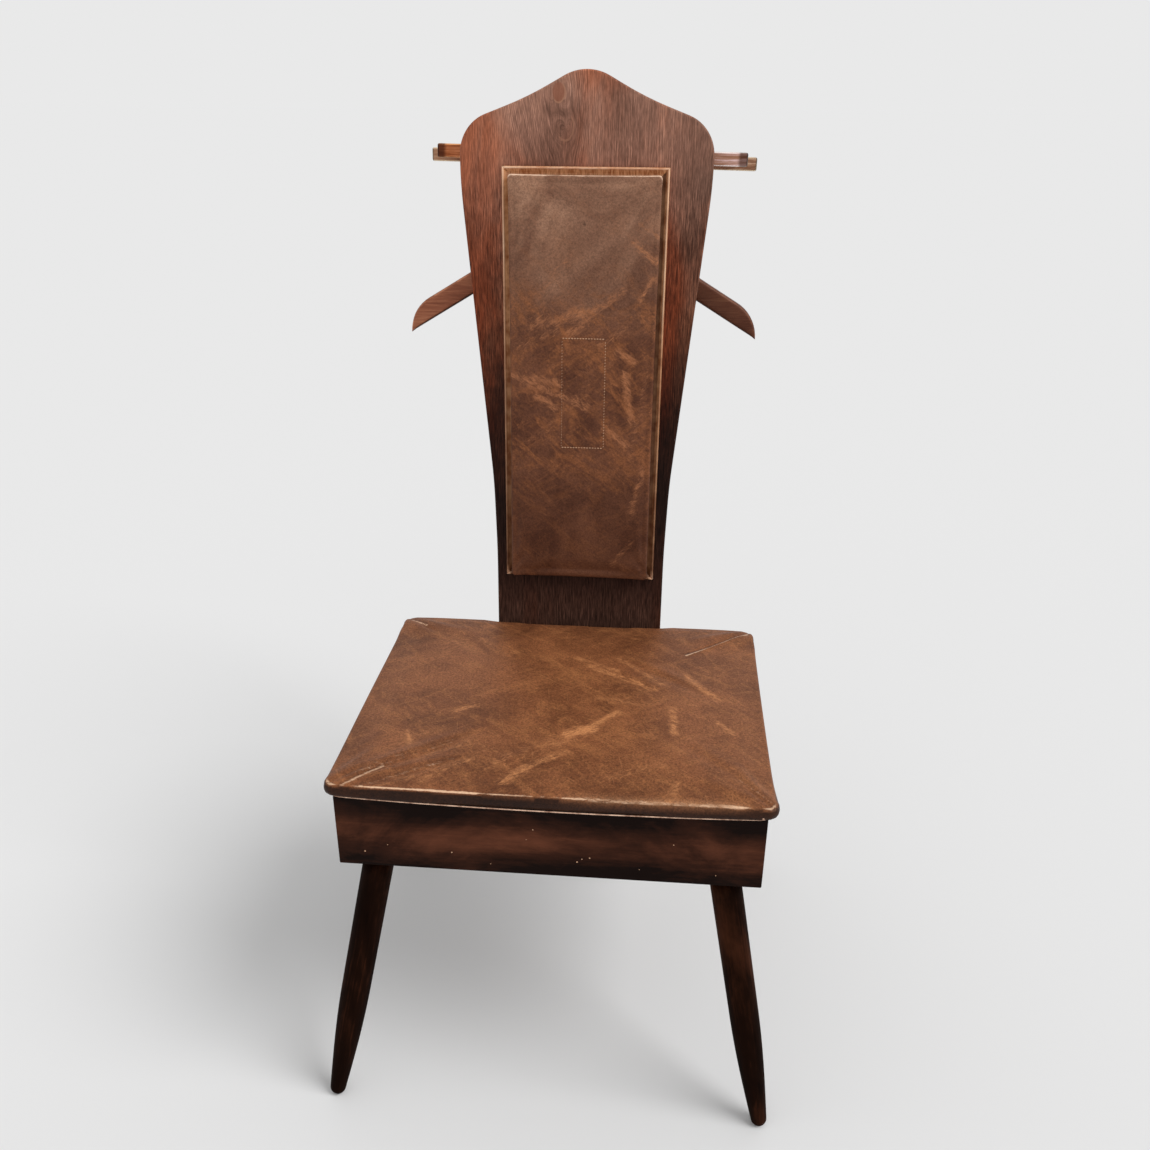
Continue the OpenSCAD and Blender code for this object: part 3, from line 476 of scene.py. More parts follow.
PLANK_WOOD = plank_wood()
BOX_WOOD = stained_wood("box_wood", (0.007, 0.0025, 0.0015), (0.038, 0.012, 0.006), (0.135, 0.043, 0.021),
    lines=0.04, fibre=0.12, wear_and_highlight=0.25, nicks=0.05, gloss=0.05, rough=0.5, band=(0.348, 0.042))
LEG_WOOD = stained_wood("leg_wood", (0.003, 0.0012, 0.0008), (0.010, 0.0034, 0.0017), (0.058, 0.018, 0.008),
    lines=0.08, fibre=0.25, wear_and_highlight=0.2, gloss=0.015, rough=0.55)
RED_WOOD = stained_wood("red_wood", (0.13, 0.038, 0.019), (0.31, 0.105, 0.055), (0.50, 0.21, 0.11),
    lines=0.12, fibre=0.7, wear_and_highlight=0.4)
FRONT_RAIL_WOOD = stained_wood("front_rail_wood", (0.14, 0.036, 0.010), (0.36, 0.13, 0.055),
    (0.70, 0.36, 0.24), lines=0.2, fibre=1.1, wear_and_highlight=0.5, ends=(1.404, 0.171))
REAR_RAIL_WOOD = stained_wood("rear_rail_wood", (0.20, 0.085, 0.045), (0.42, 0.22, 0.13),
    (0.66, 0.44, 0.30), lines=0.2, fibre=1.1, wear_and_highlight=0.5)
INSIDE_WOOD = stained_wood("inside_wood", (0.030, 0.014, 0.009), (0.075, 0.038, 0.023),
    (0.15, 0.085, 0.052), pitch=0.006, rough=0.6, marked=False)
SEAT_LEATHER = leather("seat_leather", (0.130, 0.044, 0.017), (0.235, 0.084, 0.033), (0.380, 0.150, 0.055),
    (0.66, 0.28, 0.11), (0.88, 0.56, 0.36))
BACK_LEATHER = leather("back_leather", (0.078, 0.025, 0.012), (0.150, 0.056, 0.028), (0.330, 0.118, 0.042),
    (0.50, 0.20, 0.088), (0.95, 0.66, 0.48), 0.12, 0.38)
BEAD = bead_finish()
CORD = cord_finish()
THREAD = thread_finish()
STEEL = metal("aged_steel", (0.42, 0.40, 0.37), 0.35)

# ---------------------------------------------------------------- mesh helpers

PLANK = Matrix(((1, 0, 0, 0),
    (0, math.cos(RECLINE), math.sin(RECLINE), PLANK_Y),
    (0, -math.sin(RECLINE), math.cos(RECLINE), RIM_Z), (0, 0, 0, 1)))
LID = Matrix.Translation((0, LID_Y, BOX_TOP))
FACING_X = Matrix(((0, 1, 0, 0), (1, 0, 0, 0), (0, 0, 1, 0), (0, 0, 0, 1)))
UPRIGHT = Matrix.Identity(4)


def solid_mesh(name, points, faces, triangles=False):
    """A closed mesh from points in mm, its faces turned outwards."""
    mesh = bpy.data.meshes.new(name)
    mesh.from_pydata([Vector(p) * MM for p in points], [], faces)
    form = bmesh.new()
    form.from_mesh(mesh)
    bmesh.ops.recalc_face_normals(form, faces=form.faces)
    if triangles:
        bmesh.ops.triangulate(form, faces=form.faces)
    form.to_mesh(mesh)
    form.free()
    return mesh


def in_scene(name, data):
    """A new object in the scene."""
    made = bpy.data.objects.new(name, data)
    bpy.context.scene.collection.objects.link(made)
    return made


def build(name, points, faces, finish, body="root", stands_for=(), marks=None, even=False):
    """A piece from points in mm in the row frame. marks are the values its material reads;
    even keeps flat faces flat beside rounded edges."""
    mesh = solid_mesh(name, points, faces)
    mesh.shade_smooth()
    mesh.materials.append(finish)
    for label, values in (marks or {}).items():
        values = np.asarray(values, dtype=np.float32)
        kind, key = ("FLOAT_VECTOR", "vector") if values.ndim == 2 else ("FLOAT", "value")
        mesh.attributes.new(label, kind, "POINT").data.foreach_set(key, values.ravel())
    made = in_scene(name, mesh)
    if even:
        made.modifiers.new("even_faces", "WEIGHTED_NORMAL").weight = 80
    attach(made, body)
    if stands_for:
        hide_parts(*stands_for)
    return made


def moved(matrix, points):
    """points, n x 3, through a 4 x 4 matrix."""
    m = np.array(matrix)
    return np.asarray(points, dtype=float) @ m[:3, :3].T + m[:3, 3]


def points_of(obj, matrix=UPRIGHT):
    """An object's points, in mm, in the frame of matrix."""
    return moved(matrix.inverted(), np.array([v.co for v in obj.data.vertices]) / MM)


def surface_of(obj, matrix):
    """An object's surface in the frame of matrix, to cast rays at."""
    faces = [tuple(f.vertices) for f in obj.data.polygons]
    return BVHTree.FromPolygons([Vector(p) for p in points_of(obj, matrix)], faces)


def unit(values):
    """The values kept between 0 and 1."""
    return np.clip(values, 0, 1)


def bell(values, reach):
    """1 where a value is 0, falling smoothly to nothing some way past reach."""
    return np.exp(-(values / reach) ** 2)


def circle(sides):
    """The angles of points evenly spaced round a circle."""
    return np.arange(sides) * math.tau / sides


def faces_between(rings, count):
    """Quads between consecutive rings of count points each."""
    return [(at + i, at + (i + 1) % count, at + count + (i + 1) % count, at + count + i)
        for at in range(0, (rings - 1) * count, count) for i in range(count)]


def capped(rings, count, base=0):
    """The faces of a bar made of rings, with its two ends closed."""
    faces = faces_between(rings, count)
    faces += [tuple(range(count)), tuple(range((rings - 1) * count, rings * count))]
    return [tuple(base + i for i in face) for face in faces]


def area(ring):
    x, y = np.asarray(ring).T
    return 0.5 * float(np.sum(x * np.roll(y, -1) - np.roll(x, -1) * y))


def flat_rings(node_name, matrix):
    """Outlines of a CAD node's flat ends across its local Y, and its depth from end to end.
    Holes are left out, and so are points on straight runs."""
    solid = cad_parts[node_name]
    local = points_of(solid, matrix)
    lo, hi = local[:, 1].min(), local[:, 1].max()
    spots = [tuple(np.round(p, 2)) for p in local]
    best = []
    for level in (lo, hi):
        ways = {}
        for face in solid.data.polygons:
            corners = list(face.vertices)
            if max(abs(local[c][1] - level) for c in corners) < 0.02:
                for a, b in zip(corners, corners[1:] + corners[:1]):
                    ways[(spots[a], spots[b])] = True
        follow = {}
        for a, b in ways:
            if (b, a) not in ways:
                follow[a] = b
        rings = []
        while follow:
            start, at = next(iter(follow.items()))
            ring = [start]
            del follow[start]
            while at != start and at in follow:
                ring.append(at)
                at = follow.pop(at)
            rings.append([(p[0], p[2]) for p in ring])
        rings = [r for r in rings if len(r) > 2]
        largest = max(abs(area(r)) for r in rings)
        kept = [r for r in rings if abs(area(r)) > 0.3 * largest]
        if not best or sum(abs(area(r)) for r in kept) > sum(abs(area(r)) for r in best) + 0.5:
            best = kept
    return [straightened(ring if area(ring) > 0 else ring[::-1]) for ring in best], lo, hi


def straightened(ring):
    """The outline without points on straight runs or closer than 1.5 mm to the one before."""
    p = np.array(ring)
    p = p[np.linalg.norm(p - np.roll(p, 1, 0), axis=1) > 1.5]
    back, ahead = p - np.roll(p, 1, 0), np.roll(p, -1, 0) - p
    bend = back[:, 0] * ahead[:, 1] - back[:, 1] * ahead[:, 0]
    return p[np.abs(bend) > 0.002 * np.linalg.norm(back, axis=1) * np.linalg.norm(ahead, axis=1)]


ARC_STEPS = 4


def round_corners(ring, radius, sharp=25):
    """The outline with each corner sharper than this many degrees turned into an arc."""
    made = []
    count = len(ring)
    for i, p in enumerate(ring):
        back, ahead = ring[i - 1] - p, ring[(i + 1) % count] - p
        a, b = np.linalg.norm(back), np.linalg.norm(ahead)
        back, ahead = back / a, ahead / b
        turn = math.pi - math.acos(max(-1.0, min(1.0, float(back @ ahead))))
        if math.degrees(turn) < sharp:
            made.append(p)
            continue
        cut = min(radius * math.tan(turn / 2), 0.45 * a, 0.45 * b)
        first, last = p + back * cut, p + ahead * cut
        for t in np.linspace(0, 1, ARC_STEPS + 1):
            made.append((1 - t) ** 2 * first + 2 * t * (1 - t) * p + t * t * last)
    return np.array(made)


def inset(ring, depth):
    """The outline, anticlockwise, moved inwards."""
    back, ahead = ring - np.roll(ring, 1, 0), np.roll(ring, -1, 0) - ring
    left = [np.stack((-v[:, 1], v[:, 0]), 1) / np.linalg.norm(v, axis=1)[:, None] for v in (back, ahead)]
    across = (left[0] + left[1]) / (1 + (left[0] * left[1]).sum(1))[:, None]
    return ring + depth * across


def board_mesh(ring, near, far, radius):
    """A board with this outline between two depths, its edges rounded; also how much each point
    lies on an edge."""
    turns = [math.radians(90 * k / ARC_STEPS) for k in range(ARC_STEPS + 1)]
    levels = [(radius * (1 - math.sin(a)), near + radius * (1 - math.cos(a)), math.sin(2 * a)) for a in turns]
    levels += [(depth, far + near - level, amount) for depth, level, amount in reversed(levels)]
    points, edge = [], []
    for depth, level, amount in levels:
        for u, v in inset(ring, depth):
            points.append((u, level, v))
            edge.append(amount)
    return points, edge


def board(name, node_name, matrix, finish, radius, corner, along, seed=0.0, end_shade=0.0):
    """Rounded copy of a CAD board; along is the local axis, 0 to 2, that its grain follows, and end_shade how
    strongly painted shade darkens its ends."""
    rings, near, far = flat_rings(node_name, matrix)
    points, faces, edge = [], [], []
    for ring in rings:
        outline = round_corners(ring, corner)
        more, amounts = board_mesh(outline, near, far, radius)
        faces += capped(len(more) // len(outline), len(outline), len(points))
        points += more
        edge += amounts
    local = np.array(points)
    order = [(along + 1) % 3, (along + 2) % 3, along]
    grain = local[:, order] * MM + np.array([seed, 0, seed * 2])
    reach = local[:, along] - (local[:, along].max() + local[:, along].min()) / 2
    # Painted shade on the board's ends
    painted_shade = end_shade * (abs(reach) > reach.max() - radius * 0.8)
    build(name, moved(matrix, local), faces, finish, stands_for=[node_name],
        marks={"grain": grain, "edge": edge, "painted_shade": painted_shade}, even=True)


def finish_nodes(finish, *names):
    """CAD nodes whose shape is right get a better material."""
    for name in names:
        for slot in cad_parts[name].material_slots:
            slot.material = finish


# ---------------------------------------------------------------- wooden pieces


def resampled(line, count):
    """count + 1 points evenly spaced along a line."""
    along = np.concatenate(([0], np.cumsum(np.linalg.norm(np.diff(line, axis=0), axis=1))))
    at = np.linspace(0, along[-1], count + 1)
    return np.column_stack([np.interp(at, along, line[:, i]) for i in range(line.shape[1])])


def make_hanger():
    """The coat hanger: two sloping arms, rounded over all along and thinning to their tips."""
    ring, near, far = flat_rings("coat_hanger", PLANK)
    ring = ring[0]
    left, right = (int(np.argmin(ring[:, 1] + lean * ring[:, 0])) for lean in (0.05, -0.05))
    ring = np.roll(ring, -left, 0)
    turn = (right - left) % len(ring)
    one, other = ring[:turn + 1], np.concatenate((ring[turn:], ring[:1]))[::-1]
    lower, upper = (one, other) if one[len(one) // 2, 1] < other[len(other) // 2, 1] else (other, one)
    stations = 96
    lower, upper = resampled(lower, stations), resampled(upper, stations)
    middle = (near + far) / 2
    points, grain, edge, painted_shade = [], [], [], []
    quarters = ((1, 1), (-1, 1), (-1, -1), (1, -1))
    turns = [(sx, sy, math.radians(90 * k / ARC_STEPS)) for sx, sy in quarters for k in range(ARC_STEPS + 1)]
    for k in range(stations + 1):
        a, b = lower[k], upper[k]
        tall = max(float(np.linalg.norm(b - a)), 1.2)
        way = (b - a) / tall if tall > 1.2 else np.array([0.0, 1.0])
        thick = (far - near) * (0.45 + 0.55 * min(1.0, tall / 16) ** 0.6)
        round_r = min(4.5, tall * 0.42, thick * 0.42)
        centre = (a + b) / 2
        for sx, sy, t in turns:
            t = t if sx * sy > 0 else math.pi / 2 - t
            depth = sx * (thick / 2 - round_r + round_r * math.cos(t))
            rise = sy * (tall / 2 - round_r + round_r * math.sin(t))
            spot = centre + way * rise
            points.append((spot[0], middle + depth, spot[1]))
            grain.append((spot[1] * MM + 0.3, depth * MM, spot[0] * MM))
            edge.append(math.sin(2 * t) * (sy > 0))
            # Painted shade along the arms' rounded lower edges, and in part over the right arm, which is
            # darker
            right = min(max((spot[0] - 20) / 40, 0), 1)
            painted_shade.append(0.9 if sy < 0 and (sx > 0 or t > 0.7) else 0.75 * right)
    build("hanger_arms", moved(PLANK, points), capped(stations + 1, len(turns)), RED_WOOD,
        stands_for=["coat_hanger"], marks={"grain": grain, "edge": edge, "painted_shade": painted_shade})


board("back_plank", "back_panel", PLANK, PLANK_WOOD, 2.4, 3.0, 2)
make_hanger()
board("hanger_block", "hanger_spacer", PLANK, RED_WOOD, 0.8, 1.0, 0, 0.5)
board("rail_front", "trouser_rail_front", PLANK, FRONT_RAIL_WOOD, 2.0, 2.5, 0, 0.7, 0.8)
board("rail_rear", "trouser_rail_rear", PLANK, REAR_RAIL_WOOD, 2.0, 2.5, 0, 0.9, 0.8)
board("rail_blocks", "rack_blocks", PLANK, RED_WOOD, 0.8, 1.0, 0, 1.1)
board("rail_spacers", "rack_spacers", PLANK, RED_WOOD, 0.8, 1.0, 0, 1.3)
board("wall_front", "box_front", UPRIGHT, BOX_WOOD, 1.2, 1.6, 0, 1.5)
board("wall_left", "box_left", FACING_X, BOX_WOOD, 1.2, 1.6, 0, 1.7)
board("wall_right", "box_right", FACING_X, BOX_WOOD, 1.2, 1.6, 0, 1.9)
board("wall_back", "box_back", FACING_X, BOX_WOOD, 1.2, 1.6, 1, 2.1)
finish_nodes(INSIDE_WOOD, "box_bottom", "corner_blocks", "seat_board", "back_pad_board")

LEG_TOP = 304.5
FOOT_R, LEG_R, TAPER = 9.0, 17.0, 140.0
LEG_FLARE, FOOT_FLAT = 0.8, 0.8
LEG_X, FRONT_LEG_Y, REAR_LEG_Y = 185.7, 30.0 - MID_Y, 373.493 - MID_Y
FOOT_OUT, FOOT_FORE = 56.5222, 62.9805


def turned_leg(end, side, seed):
    """A turned leg: round foot, swelling taper and a nearly straight upper part, cut level at
    the box and at the floor."""
    sx, sy = 1 if side == "right" else -1, 1 if end == "rear" else -1
    top = Vector((sx * LEG_X, REAR_LEG_Y if sy > 0 else FRONT_LEG_Y, LEG_TOP))
    foot = top + Vector((sx * FOOT_OUT, sy * FOOT_FORE, FOOT_R - FOOT_FLAT - LEG_TOP))
    up = top - foot
    profile = [(FOOT_R * math.sin(a), FOOT_R * math.cos(a)) for a in np.radians(np.arange(-84, 0, 12))]
    for t in np.linspace(0, 1, 16):
        profile.append((TAPER * t, FOOT_R + (LEG_R - LEG_FLARE - FOOT_R) * math.sin(t * math.pi / 2)))
    for t in np.linspace(0.15, 1, 7):
        profile.append((TAPER + (up.length - TAPER) * t, LEG_R - LEG_FLARE * (1 - t)))
    profile.append((up.length + 12, LEG_R))
    count = 40
    points = [(r * math.cos(a), r * math.sin(a), z) for z, r in profile for a in circle(count)]
    place = Matrix.Translation(foot) @ up.to_track_quat("Z", "Y").to_matrix().to_4x4()
    form = bmesh.new()
    spots = [form.verts.new(p) for p in moved(place, points)]
    for face in capped(len(profile), count):
        form.faces.new([spots[i] for i in face])
    for level, outward in ((LEG_TOP, 1), (0.0, -1)):
        everything = form.verts[:] + form.edges[:] + form.faces[:]
        bmesh.ops.bisect_plane(form, geom=everything, dist=1e-4, plane_co=(0, 0, level),
            plane_no=(0, 0, outward), clear_outer=True)
        bmesh.ops.holes_fill(form, edges=[e for e in form.edges if e.is_boundary])
    form.verts.index_update()
    world = np.array([v.co for v in form.verts])
    faces = [tuple(v.index for v in f.verts) for f in form.faces]
    form.free()
    grain = moved(place.inverted(), world) * MM + np.array([0, 0, seed])
    flat = np.minimum(abs(world[:, 2] - LEG_TOP), abs(world[:, 2])) < 0.01
    build(f"turned_leg_{end}_{side}", world, faces, LEG_WOOD,
        stands_for=[f"leg_{end}_{side}"], marks={"grain": grain, "edge": flat * 0.6}, even=True)


turned_leg("front", "left", 0.0)
turned_leg("front", "right", 1.0)
turned_leg("rear", "left", 2.0)
turned_leg("rear", "right", 3.0)

# ---------------------------------------------------------------- moulding round the back pad

PAD_S = 311.5
OPENING_W, OPENING_H = 173.6, 477.6
# Section of the moulding, out from the pad and up off the plank, and how strongly each point takes the
# crest's painted highlight
BEAD_SECTION = [(0, 0, 0), (0, 3.2, 0.1), (0.4, 3.5, 0.45), (1.0, 3.2, 0.1), (1.8, 3.6, 0.15),
    (2.6, 3.3, 0), (3.6, 3.7, 0), (4.6, 3.9, 0), (5.6, 4.1, 0.05), (6.4, 4.5, 0.15), (7.0, 5.1, 0.6),
    (7.6, 5.5, 1), (8.3, 5.5, 1), (8.9, 5.0, 0.8), (9.3, 3.6, 0.3), (9.5, 1.8, 0), (9.5, 0, 0)]


def bead_strip(side, turn, along, out, seed, ticks=1.0, shaded=0.0):
    """One mitred strip: along is half its inner length and out its distance from the pad's middle.
    Its crest carries a painted highlight, strongest at the top, and painted shade deepens down the plank;
    ticks is how close its cross marks stand and shaded how much painted shade the pad casts on its inner
    half."""
    c, d = math.cos(turn), math.sin(turn)
    stations = 40
    points, grain, pale, painted_shade = [], [], [], []
    for k in range(stations + 1):
        t = 2 * k / stations - 1
        for u, v, amount in BEAD_SECTION:
            a = t * (along + u)
            x, s = a * c - (out + u) * d, a * d + (out + u) * c
            points.append((x, -v, PAD_S + s))
            grain.append((u * MM, v * MM, a * ticks * MM + seed))
            wobble = 0.85 + 0.15 * math.sin(a * 0.11 + seed * 9) * math.sin(a * 0.043 + seed)
            # Painted light falloff: the crest's painted highlight fades down the plank and painted shade
            # deepens; the outer ends at its foot keep a painted glint
            height = min(max((PAD_S + s - 60) / 500, 0), 1)
            corner_glint = 1.0 if height < 0.02 and abs(x) > OPENING_W / 2 + 6 and u > 6 else 0.0
            pale.append(max(amount * wobble * (0.12 + 0.88 * height ** 1.1), corner_glint))
            # Painted shade that the pad casts on the inner half
            inner = shaded * min(max((6.2 - u) / 1.5, 0), 1)
            painted_shade.append(max(0.8 * (1 - height) ** 1.3 * (1 - corner_glint), inner))
    faces = capped(stations + 1, len(BEAD_SECTION))
    build(f"bead_{side}", moved(PLANK, points), faces, BEAD, stands_for=[f"moulding_{side}"],
        marks={"grain": grain, "edge": pale, "painted_shade": painted_shade})


bead_strip("top", 0.0, OPENING_W / 2, OPENING_H / 2, 0.0)
bead_strip("left", math.pi / 2, OPENING_H / 2, OPENING_W / 2, 1.0, 0.12)
bead_strip("bottom", math.pi, OPENING_W / 2, OPENING_H / 2, 2.0)
bead_strip("right", -math.pi / 2, OPENING_H / 2, OPENING_W / 2, 3.0, 0.12, 0.8)

# ---------------------------------------------------------------- screws and hinges

SLOT_W, SLOT_DEEP = 0.9, 0.8


def loose_parts(node_name):
    """Points, in mm, of each separate solid of a CAD node."""
    form = bmesh.new()
    form.from_mesh(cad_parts[node_name].data)
    bmesh.ops.remove_doubles(form, verts=form.verts, dist=1e-6)
    seen, parts = set(), []
    for first in form.verts:
        if first in seen:
            continue
        seen.add(first)
        waiting, part = [first], []
        while waiting:
            at = waiting.pop()
            part.append(at.co / MM)
            for edge in at.link_edges:
                other = edge.other_vert(at)
                if other not in seen:
                    seen.add(other)
                    waiting.append(other)
        parts.append(np.array(part))
    form.free()
    return parts


def slotted_screws(name, node_name, body="root", proud=0.25):
    """Countersunk screws in the places of a CAD node's, each with a slot across its head."""
    points, faces = [], []
    for index, part in enumerate(loose_parts(node_name)):
        middle = part.mean(0)
        axis = np.linalg.svd(part - middle)[2][0]
        reach = (part - middle) @ axis
        width = np.linalg.norm(part - middle - reach[:, None] * axis, axis=1)
        if reach[width > width.max() * 0.98].mean() < 0:
            axis, reach = -axis, -reach
        head_r, tip = width.max(), reach.min()
        centre = (part[reach > reach.max() - 0.05]).mean(0)
        length = reach.max() - tip
        place = Matrix.Translation(centre) @ Vector(axis).to_track_quat("Z", "Y").to_matrix().to_4x4()
        place = place @ Matrix.Rotation(index * 1.9 + 0.4, 4, "Z")
        notch = math.asin(SLOT_W / 2 / head_r)
        sweep = list(np.linspace(notch, math.pi - notch, 12))
        round_trip = sweep + [a + math.pi for a in sweep]
        half, count, base = len(sweep), len(round_trip), len(points)
        shank = min(1.8, head_r * 0.5)
        local = []
        for r, z in ((head_r, proud), (head_r, -0.3), (shank, shank - head_r - 0.3), (shank, -length)):
            local += [(r * math.cos(a), r * math.sin(a), z) for a in round_trip]
        local += [(head_r * math.cos(round_trip[i]), head_r * math.sin(round_trip[i]), proud - SLOT_DEEP)
            for i in (0, half - 1, half, count - 1)]
        # The side wall is open where the slot runs out of the head at both ends
        floor = 4 * count
        quads = [q for q in faces_between(4, count) if q[0] not in (half - 1, count - 1)]
        quads += [tuple(range(half)), tuple(range(half, count)), (floor, floor + 1, floor + 2, floor + 3),
            (0, half - 1, floor + 1, floor), (half, count - 1, floor + 3, floor + 2),
            (floor + 1, floor + 2, count + half, count + half - 1), (floor + 3, floor, count, 2 * count - 1),
            (half - 1, floor + 1, count + half - 1), (half, floor + 2, count + half),
            (count - 1, floor + 3, 2 * count - 1), (0, floor, count), tuple(range(3 * count, 4 * count))]
        points += list(moved(place, local))
        faces += [tuple(i + base for i in q) for q in quads]
    build(name, points, faces, STEEL, body, [node_name]).data.shade_flat()


slotted_screws("slotted_pad_screws", "pad_screws")
slotted_screws("slotted_hanger_screws", "hanger_screws")
slotted_screws("slotted_rail_screws", "rack_screws")
slotted_screws("slotted_plate_screws", "leg_plate_screws")
slotted_screws("slotted_hinge_screws_wall", "hinge_screws_fixed", proud=0.1)
slotted_screws("slotted_hinge_screws_lid", "hinge_screws_moving", "seat_lid", 0.1)
finish_nodes(STEEL, "leg_plates", "leg_bolts", "panel_bolts", "panel_nuts", "hinge_leaves_fixed",
    "hinge_pins", "hinge_leaves_moving")

# ---------------------------------------------------------------- cushions

CORNER_STEPS, SIDE_STEPS = 7, 30


def rim(w, d, r, draw):
    """Rounded rectangle whose sides pull in by draw between the corners."""
    points = []
    for q in range(4):
        sx, sy = (1 if q in (0, 3) else -1), (1 if q < 2 else -1)
        centre = np.array([sx * (w / 2 - r), sy * (d / 2 - r)])
        a0 = math.pi / 2 * q
        for k in range(CORNER_STEPS + 1):
            a = a0 + math.pi / 2 * k / CORNER_STEPS
            points.append(centre + r * np.array([math.cos(a), math.sin(a)]))
        run = (w if q in (0, 2) else d) - 2 * r
        ahead = np.array([math.cos(a0 + math.pi), math.sin(a0 + math.pi)])
        inward = np.array([math.cos(a0 + 1.5 * math.pi), math.sin(a0 + 1.5 * math.pi)])
        end = points[-1]
        for k in range(1, SIDE_STEPS + 1):
            f = k / (SIDE_STEPS + 1)
            points.append(end + ahead * run * f + inward * draw * math.sin(math.pi * f))
    return np.array(points)


def near_corner(xy, w, d, reach):
    """How near each point is to a corner of the cushion, 1 at the corner itself."""
    gap = np.hypot(w / 2 - abs(xy[:, 0]), d / 2 - abs(xy[:, 1]))
    return bell(gap, reach)


def rim_gap(xy, w, d, r, draw):
    """How far each point lies inside the outline that rim draws, and the way out from there."""
    half = np.array([w, d]) / 2
    pull = draw * np.cos(np.pi / 2 * np.clip(xy / (half - r), -1, 1))
    out = abs(xy) - (half - pull[:, ::-1]) + r
    corner = np.maximum(out, 0)
    length = np.linalg.norm(corner, axis=1)
    wide = out[:, 0] > out[:, 1]
    way = np.where(length[:, None] > 0, corner / np.maximum(length, 1e-9)[:, None],
        np.column_stack((wide, ~wide)))
    return r - length - np.minimum(out.max(1), 0), way * np.sign(xy)


def fitted(points, w, d, top, low):
    """Scales a cushion to its width and depth, and what lies above low to its height."""
    points = points * np.array([w / 2 / abs(points[:, 0]).max(), d / 2 / abs(points[:, 1]).max(), 1])
    high = points[:, 2].max()
    points[:, 2] += (top - high) * unit((points[:, 2] - low) / (high - low))
    return points


def squared_off(points, gap, way, top, reach, power):
    """Draws a cushion's soft upper edge out towards its corner, as a firm filling does. top is
    the height of that corner, for each point or for all."""
    near = (gap < reach) & (points[:, 2] > top - reach)
    g, h = np.clip(gap, 0, reach), np.clip(top - points[:, 2], 0, reach)
    out, up = g - g * (g / reach) ** power, h - h * (h / reach) ** power
    points[:, :2] += way * (out * near)[:, None]
    points[:, 2] += up * near


def shoulder(points, gap, reach):
    """Height of a cushion's top just inside its edge, at the place nearest each point."""
    ring = points[(gap > reach) & (gap < reach + 2.5) & (points[:, 2] > 8)]
    tree = KDTree(len(ring))
    for i, (x, y, _) in enumerate(ring):
        tree.insert((x, y, 0), i)
    tree.balance()
    return np.array([ring[tree.find((x, y, 0))[1], 2] for x, y in points[:, :2]])


def cushion_form(w, d, h, r, draw, swell, crown, lower, edge):
    """Closed cushion from lower to h: rings up its sides, swollen in their middle and turned in at
    their edge, and in across its crown."""
    base = rim(w, d, r, draw)
    side = [(-swell, 0), (-swell, 0.17), (-swell * 0.25, 0.42), (0, 0.68), (-0.3 * edge, 0.87), (-edge, 1)]
    rings = []
    for grow, t in side:
        flat = base * np.array([(w / 2 + grow) / (w / 2), (d / 2 + grow) / (d / 2)])
        rings.append(np.column_stack((flat, np.full(len(base), lower + (h - lower) * t))))
    for f in (0.985, 0.955, 0.92, 0.88, 0.82, 0.76, 0.68, 0.6, 0.5, 0.4, 0.3, 0.2, 0.1):
        rings.append(np.column_stack((base * f, np.full(len(base), h + crown * (1 - f ** 2.6) * 0.98))))
    return np.concatenate(rings), capped(len(rings), len(base))


def evaluated(obj):
    """The object's mesh with its modifiers applied, which replaces the old one."""
    view = bpy.context.evaluated_depsgraph_get()
    view.update()
    mesh = bpy.data.meshes.new_from_object(obj.evaluated_get(view))
    obj.modifiers.clear()
    obj.data = mesh


PRESSURE, SETTLING_STEPS = 4.0, 20


def inflate(points, faces, voxel, pinned_below, cap):
    """Remeshes a closed form, blows it up as cloth pinned at its hem, caps how far a point may
    travel and smooths it once. Takes and gives mm."""
    obj = in_scene("blank", solid_mesh("blank", points, faces, triangles=True))
    remesh = obj.modifiers.new("even_mesh", "REMESH")
    remesh.mode = "VOXEL"
    remesh.voxel_size = voxel * MM
    evaluated(obj)
    start = points_of(obj)
    pins = obj.vertex_groups.new(name="hem")
    pins.add([i for i, p in enumerate(start) if p[2] < pinned_below], 1.0, "REPLACE")
    cloth = obj.modifiers.new("cover", "CLOTH")
    cloth.settings.vertex_group_mass = "hem"
    cloth.settings.use_pressure = True
    cloth.settings.uniform_pressure_force = PRESSURE
    cloth.settings.quality = 6
    cloth.settings.effector_weights.gravity = 0
    cloth.collision_settings.use_collision = False
    for step in range(1, SETTLING_STEPS + 1):
        bpy.context.scene.frame_set(step)
    evaluated(obj)
    bpy.context.scene.frame_set(1)
    travel = points_of(obj) - start
    far = np.linalg.norm(travel, axis=1)[:, None] + 1e-9
    end = start + travel / far * cap * np.tanh(far / cap)
    obj.data.vertices.foreach_set("co", (end * MM).astype(np.float32).ravel())
    obj.modifiers.new("smooth", "SUBSURF").levels = 1
    evaluated(obj)
    points, faces = points_of(obj), [tuple(f.vertices) for f in obj.data.polygons]
    bpy.data.objects.remove(obj)
    return points, faces


def from_segment(xy, stroke):
    """Distance of each point from a stroke's line, and how far along it the nearest place is."""
    a, b = np.array(stroke[:2], float), np.array(stroke[2:4], float)
    along = unit(((xy - a) @ (b - a)) / ((b - a) @ (b - a)))
    return np.linalg.norm(xy - (a + along[:, None] * (b - a)), axis=1), along


def side_of(xy, stroke):
    """How far each point lies to the left of a stroke's line."""
    a, b = np.array(stroke[:2], float), np.array(stroke[2:4], float)
    way = (b - a) / np.linalg.norm(b - a)
    return (xy - a) @ np.array([-way[1], way[0]])


